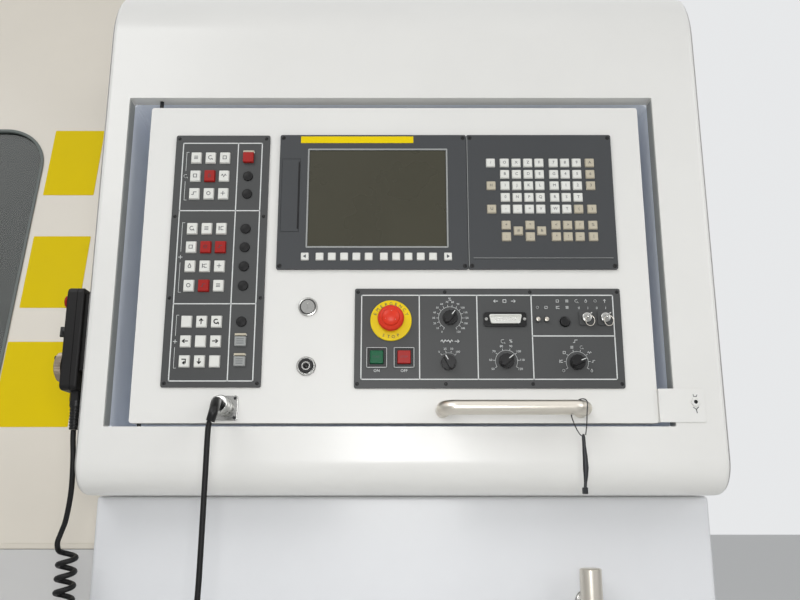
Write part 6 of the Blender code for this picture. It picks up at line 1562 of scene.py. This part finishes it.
# Tank and electrical cabinet
def make_tank():
    """Coolant tank with its level gauge and a screwed hatch."""
    refined("coolant_tank", "tower_enamel", 0.001, 1, 60)
    face = shift(0, -0.6, 0) @ FRONT
    gauge = Shape().prism(rectangle(0.52, 0.085, 0.03, 0.125, 0.01, 4), face, 0.0002, 0.006, 0.002, 3)
    piece("tank_gauge", gauge, "black_plastic", "tank")
    glass = Shape().prism(rectangle(0.53, 0.102, 0.01, 0.09, 0.004, 4), face, 0.0062, 0.0072, 0.0004, 1)
    piece("tank_gauge_glass", glass, "lamp_grey", "tank")
    plate = Shape().prism(rectangle(-0.95, 0.085, 0.24, 0.125, 0.006, 3), face, 0.0002, 0.002, 0.0006, 2)
    piece("tank_hatch", plate, "tower_enamel", "tank")
    scatter("tank_screws", bolt_stamp(0.004, 0.003), "bright_metal", "tank", face,
            grid((-0.94, -0.83, -0.72), (0.095, 0.2), 0.002))


def make_cabinet():
    """Electrical cabinet: its door with flush catches and vent slots."""
    edge = chosen().sheet_edge
    refined("electrical_cabinet", "tower_enamel", edge * 0.5, 2)
    low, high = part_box("electrical_door")
    source = refined("electrical_door", "tower_enamel", edge * 0.8, 2)
    back = shift(0, high.y, 0) @ BACK
    cuts = Shape()
    for k in range(10):
        for x, z in ((1.16, 0.4), (1.16, 1.55), (0.38, 0.4), (0.38, 1.55)):
            cuts.prism(rectangle(x, z + 0.016 * k, 0.16, 0.006, 0.0029, 4), back, -0.01, 0.01)
    latches = (0.6, 1.05, 1.5)
    for z in latches:
        cuts.prism(rectangle(0.275, z - 0.035, 0.026, 0.07, 0.004, 3), back, -0.01, 0.01)
    shape = solid(source.data)
    bpy.data.objects.remove(source)
    piece("cabinet_door_skin", carve(shape, [cuts]), "tower_enamel", "cabinet_door", ["electrical_door"])
    catches, levers = Shape(), Shape()
    for z in latches:
        catches.prism(rectangle(0.2753, z - 0.0347, 0.0254, 0.0694, 0.0037, 3), back, -0.006, -0.0022)
        levers.prism(rectangle(0.2825, z - 0.029, 0.011, 0.058, 0.003, 3), back, -0.0023, -0.0004, 0.0008, 2)
    piece("cabinet_catches", catches, "black_plastic", "cabinet_door")
    piece("cabinet_catch_levers", levers, "bright_metal", "cabinet_door")


def finish_the_rest():
    """Procedural finishes for the CAD pieces that are shown as they are."""
    for node, paint in (("recess_liner", "recess_enamel"), ("display_glass", "screen_film"),
                        ("door_window", "glass_pane"), ("pendant_bracket", "pendant_plastic")):
        materials = frame["nodes"][node].data.materials
        materials.clear()
        materials.append(finish(paint))


class LATHE_OT_stage(bpy.types.Operator):
    """Make the floor, the lights and the camera"""
    bl_idname = "lathe.stage"
    bl_label = "Stage"

    def execute(self, context):
        make_stage()
        return {"FINISHED"}


class LATHE_OT_cord(bpy.types.Operator):
    """Make the coiled cord between the panel's connector and the pendant"""
    bl_idname = "lathe.cord"
    bl_label = "Cord"

    def execute(self, context):
        make_cord()
        return {"FINISHED"}


class LATHE_OT_console(bpy.types.Operator):
    """Make the console's rolled shell and the panel's pivot pins"""
    bl_idname = "lathe.console"
    bl_label = "Console"

    def execute(self, context):
        make_console()
        return {"FINISHED"}


class LATHE_OT_panel(bpy.types.Operator):
    """Make the swinging panel's skin, its lock, socket, tab and cam"""
    bl_idname = "lathe.panel"
    bl_label = "Panel"

    def execute(self, context):
        make_panel()
        return {"FINISHED"}


class LATHE_OT_display(bpy.types.Operator):
    """Make the display's surround, soft keys and card door"""
    bl_idname = "lathe.display"
    bl_label = "Display"

    def execute(self, context):
        make_display()
        return {"FINISHED"}


class LATHE_OT_keyboard(bpy.types.Operator):
    """Make the keyboard's skin, keys and letters"""
    bl_idname = "lathe.keyboard"
    bl_label = "Keyboard"

    def execute(self, context):
        make_keyboard()
        return {"FINISHED"}


class LATHE_OT_switches(bpy.types.Operator):
    """Make the switch plate with its keys, lamps and printed lines"""
    bl_idname = "lathe.switches"
    bl_label = "Switch plate"

    def execute(self, context):
        make_switches()
        return {"FINISHED"}


class LATHE_OT_operator_plate(bpy.types.Operator):
    """Make the operator plate, its printed dials and its port"""
    bl_idname = "lathe.operator_plate"
    bl_label = "Operator plate"

    def execute(self, context):
        make_operator_plate()
        return {"FINISHED"}


class LATHE_OT_buttons(bpy.types.Operator):
    """Make the emergency stop and the start, stop and check buttons"""
    bl_idname = "lathe.buttons"
    bl_label = "Buttons"

    def execute(self, context):
        make_stop()
        make_buttons()
        return {"FINISHED"}


class LATHE_OT_knobs(bpy.types.Operator):
    """Make the four dial knobs"""
    bl_idname = "lathe.knobs"
    bl_label = "Dial knobs"

    def execute(self, context):
        make_knobs()
        return {"FINISHED"}


class LATHE_OT_key_switches(bpy.types.Operator):
    """Make the two key switches with their keys"""
    bl_idname = "lathe.key_switches"
    bl_label = "Key switches"

    def execute(self, context):
        make_key_switches()
        return {"FINISHED"}


class LATHE_OT_connector(bpy.types.Operator):
    """Make the connector and the plug with its boot"""
    bl_idname = "lathe.connector"
    bl_label = "Connector"

    def execute(self, context):
        make_connector()
        return {"FINISHED"}


class LATHE_OT_handles(bpy.types.Operator):
    """Make the bow handles, the hanging tool and the lower bar"""
    bl_idname = "lathe.handles"
    bl_label = "Handles"

    def execute(self, context):
        make_handles()
        return {"FINISHED"}


class LATHE_OT_pendant(bpy.types.Operator):
    """Make the handheld wheel unit"""
    bl_idname = "lathe.pendant"
    bl_label = "Pendant"

    def execute(self, context):
        make_pendant()
        return {"FINISHED"}


class LATHE_OT_tower(bpy.types.Operator):
    """Make the lower cover under the console"""
    bl_idname = "lathe.tower"
    bl_label = "Lower cabinet"

    def execute(self, context):
        make_tower()
        return {"FINISHED"}


class LATHE_OT_door(bpy.types.Operator):
    """Make the sliding door, its window seal and its bare plates"""
    bl_idname = "lathe.door"
    bl_label = "Door"

    def execute(self, context):
        make_door()
        return {"FINISHED"}


class LATHE_OT_covers(bpy.types.Operator):
    """Make the folded covers of the enclosure"""
    bl_idname = "lathe.covers"
    bl_label = "Covers"

    def execute(self, context):
        make_covers()
        return {"FINISHED"}


class LATHE_OT_castings(bpy.types.Operator):
    """Make the bed, headstock and tailstock"""
    bl_idname = "lathe.castings"
    bl_label = "Castings"

    def execute(self, context):
        make_castings()
        return {"FINISHED"}


class LATHE_OT_spindle(bpy.types.Operator):
    """Make the spindle, the chuck and its jaws"""
    bl_idname = "lathe.spindle"
    bl_label = "Spindle"

    def execute(self, context):
        make_spindle()
        return {"FINISHED"}


class LATHE_OT_slides(bpy.types.Operator):
    """Make the saddle, cross slide, turret and quill"""
    bl_idname = "lathe.slides"
    bl_label = "Slides"

    def execute(self, context):
        make_slides()
        return {"FINISHED"}


class LATHE_OT_tank(bpy.types.Operator):
    """Make the coolant tank's skin and fittings"""
    bl_idname = "lathe.tank"
    bl_label = "Tank"

    def execute(self, context):
        make_tank()
        return {"FINISHED"}


class LATHE_OT_cabinet(bpy.types.Operator):
    """Make the electrical cabinet and its door"""
    bl_idname = "lathe.cabinet"
    bl_label = "Electrical cabinet"

    def execute(self, context):
        make_cabinet()
        return {"FINISHED"}


class LATHE_OT_finishes(bpy.types.Operator):
    """Give the CAD pieces shown as they are their procedural finishes"""
    bl_idname = "lathe.finishes"
    bl_label = "Finishes"

    def execute(self, context):
        finish_the_rest()
        return {"FINISHED"}


OPERATORS = [LATHE_OT_stage, LATHE_OT_cord, LATHE_OT_console, LATHE_OT_panel, LATHE_OT_display,
             LATHE_OT_keyboard, LATHE_OT_switches, LATHE_OT_operator_plate, LATHE_OT_buttons,
             LATHE_OT_knobs, LATHE_OT_key_switches, LATHE_OT_connector, LATHE_OT_handles, LATHE_OT_pendant,
             LATHE_OT_tower, LATHE_OT_door, LATHE_OT_covers, LATHE_OT_castings, LATHE_OT_spindle,
             LATHE_OT_slides, LATHE_OT_tank, LATHE_OT_cabinet, LATHE_OT_finishes]


class LATHE_PT_pieces(bpy.types.Panel):
    """Lists the lathe's pieces, sizes and colours"""
    bl_label = "Lathe"
    bl_idname = "LATHE_PT_pieces"
    bl_space_type = "VIEW_3D"
    bl_region_type = "UI"
    bl_category = "Lathe"

    def draw(self, context):
        for operator in OPERATORS:
            self.layout.operator(operator.bl_idname)
        for group in (context.scene.lathe_sizes, context.scene.lathe_colours):
            for name in group.bl_rna.properties.keys()[2:]:
                self.layout.prop(group, name)


def register():
    for cls in (LatheSizes, LatheColours, *OPERATORS, LATHE_PT_pieces):
        bpy.utils.register_class(cls)
    bpy.types.Scene.lathe_sizes = bpy.props.PointerProperty(type=LatheSizes)
    bpy.types.Scene.lathe_colours = bpy.props.PointerProperty(type=LatheColours)


def unregister():
    del bpy.types.Scene.lathe_sizes
    del bpy.types.Scene.lathe_colours
    for cls in (LATHE_PT_pieces, *reversed(OPERATORS), LatheColours, LatheSizes):
        bpy.utils.unregister_class(cls)


def main():
    register()
    for operator in OPERATORS:
        group, name = operator.bl_idname.split(".")
        getattr(getattr(bpy.ops, group), name)()


if __name__ == "__main__":
    main()
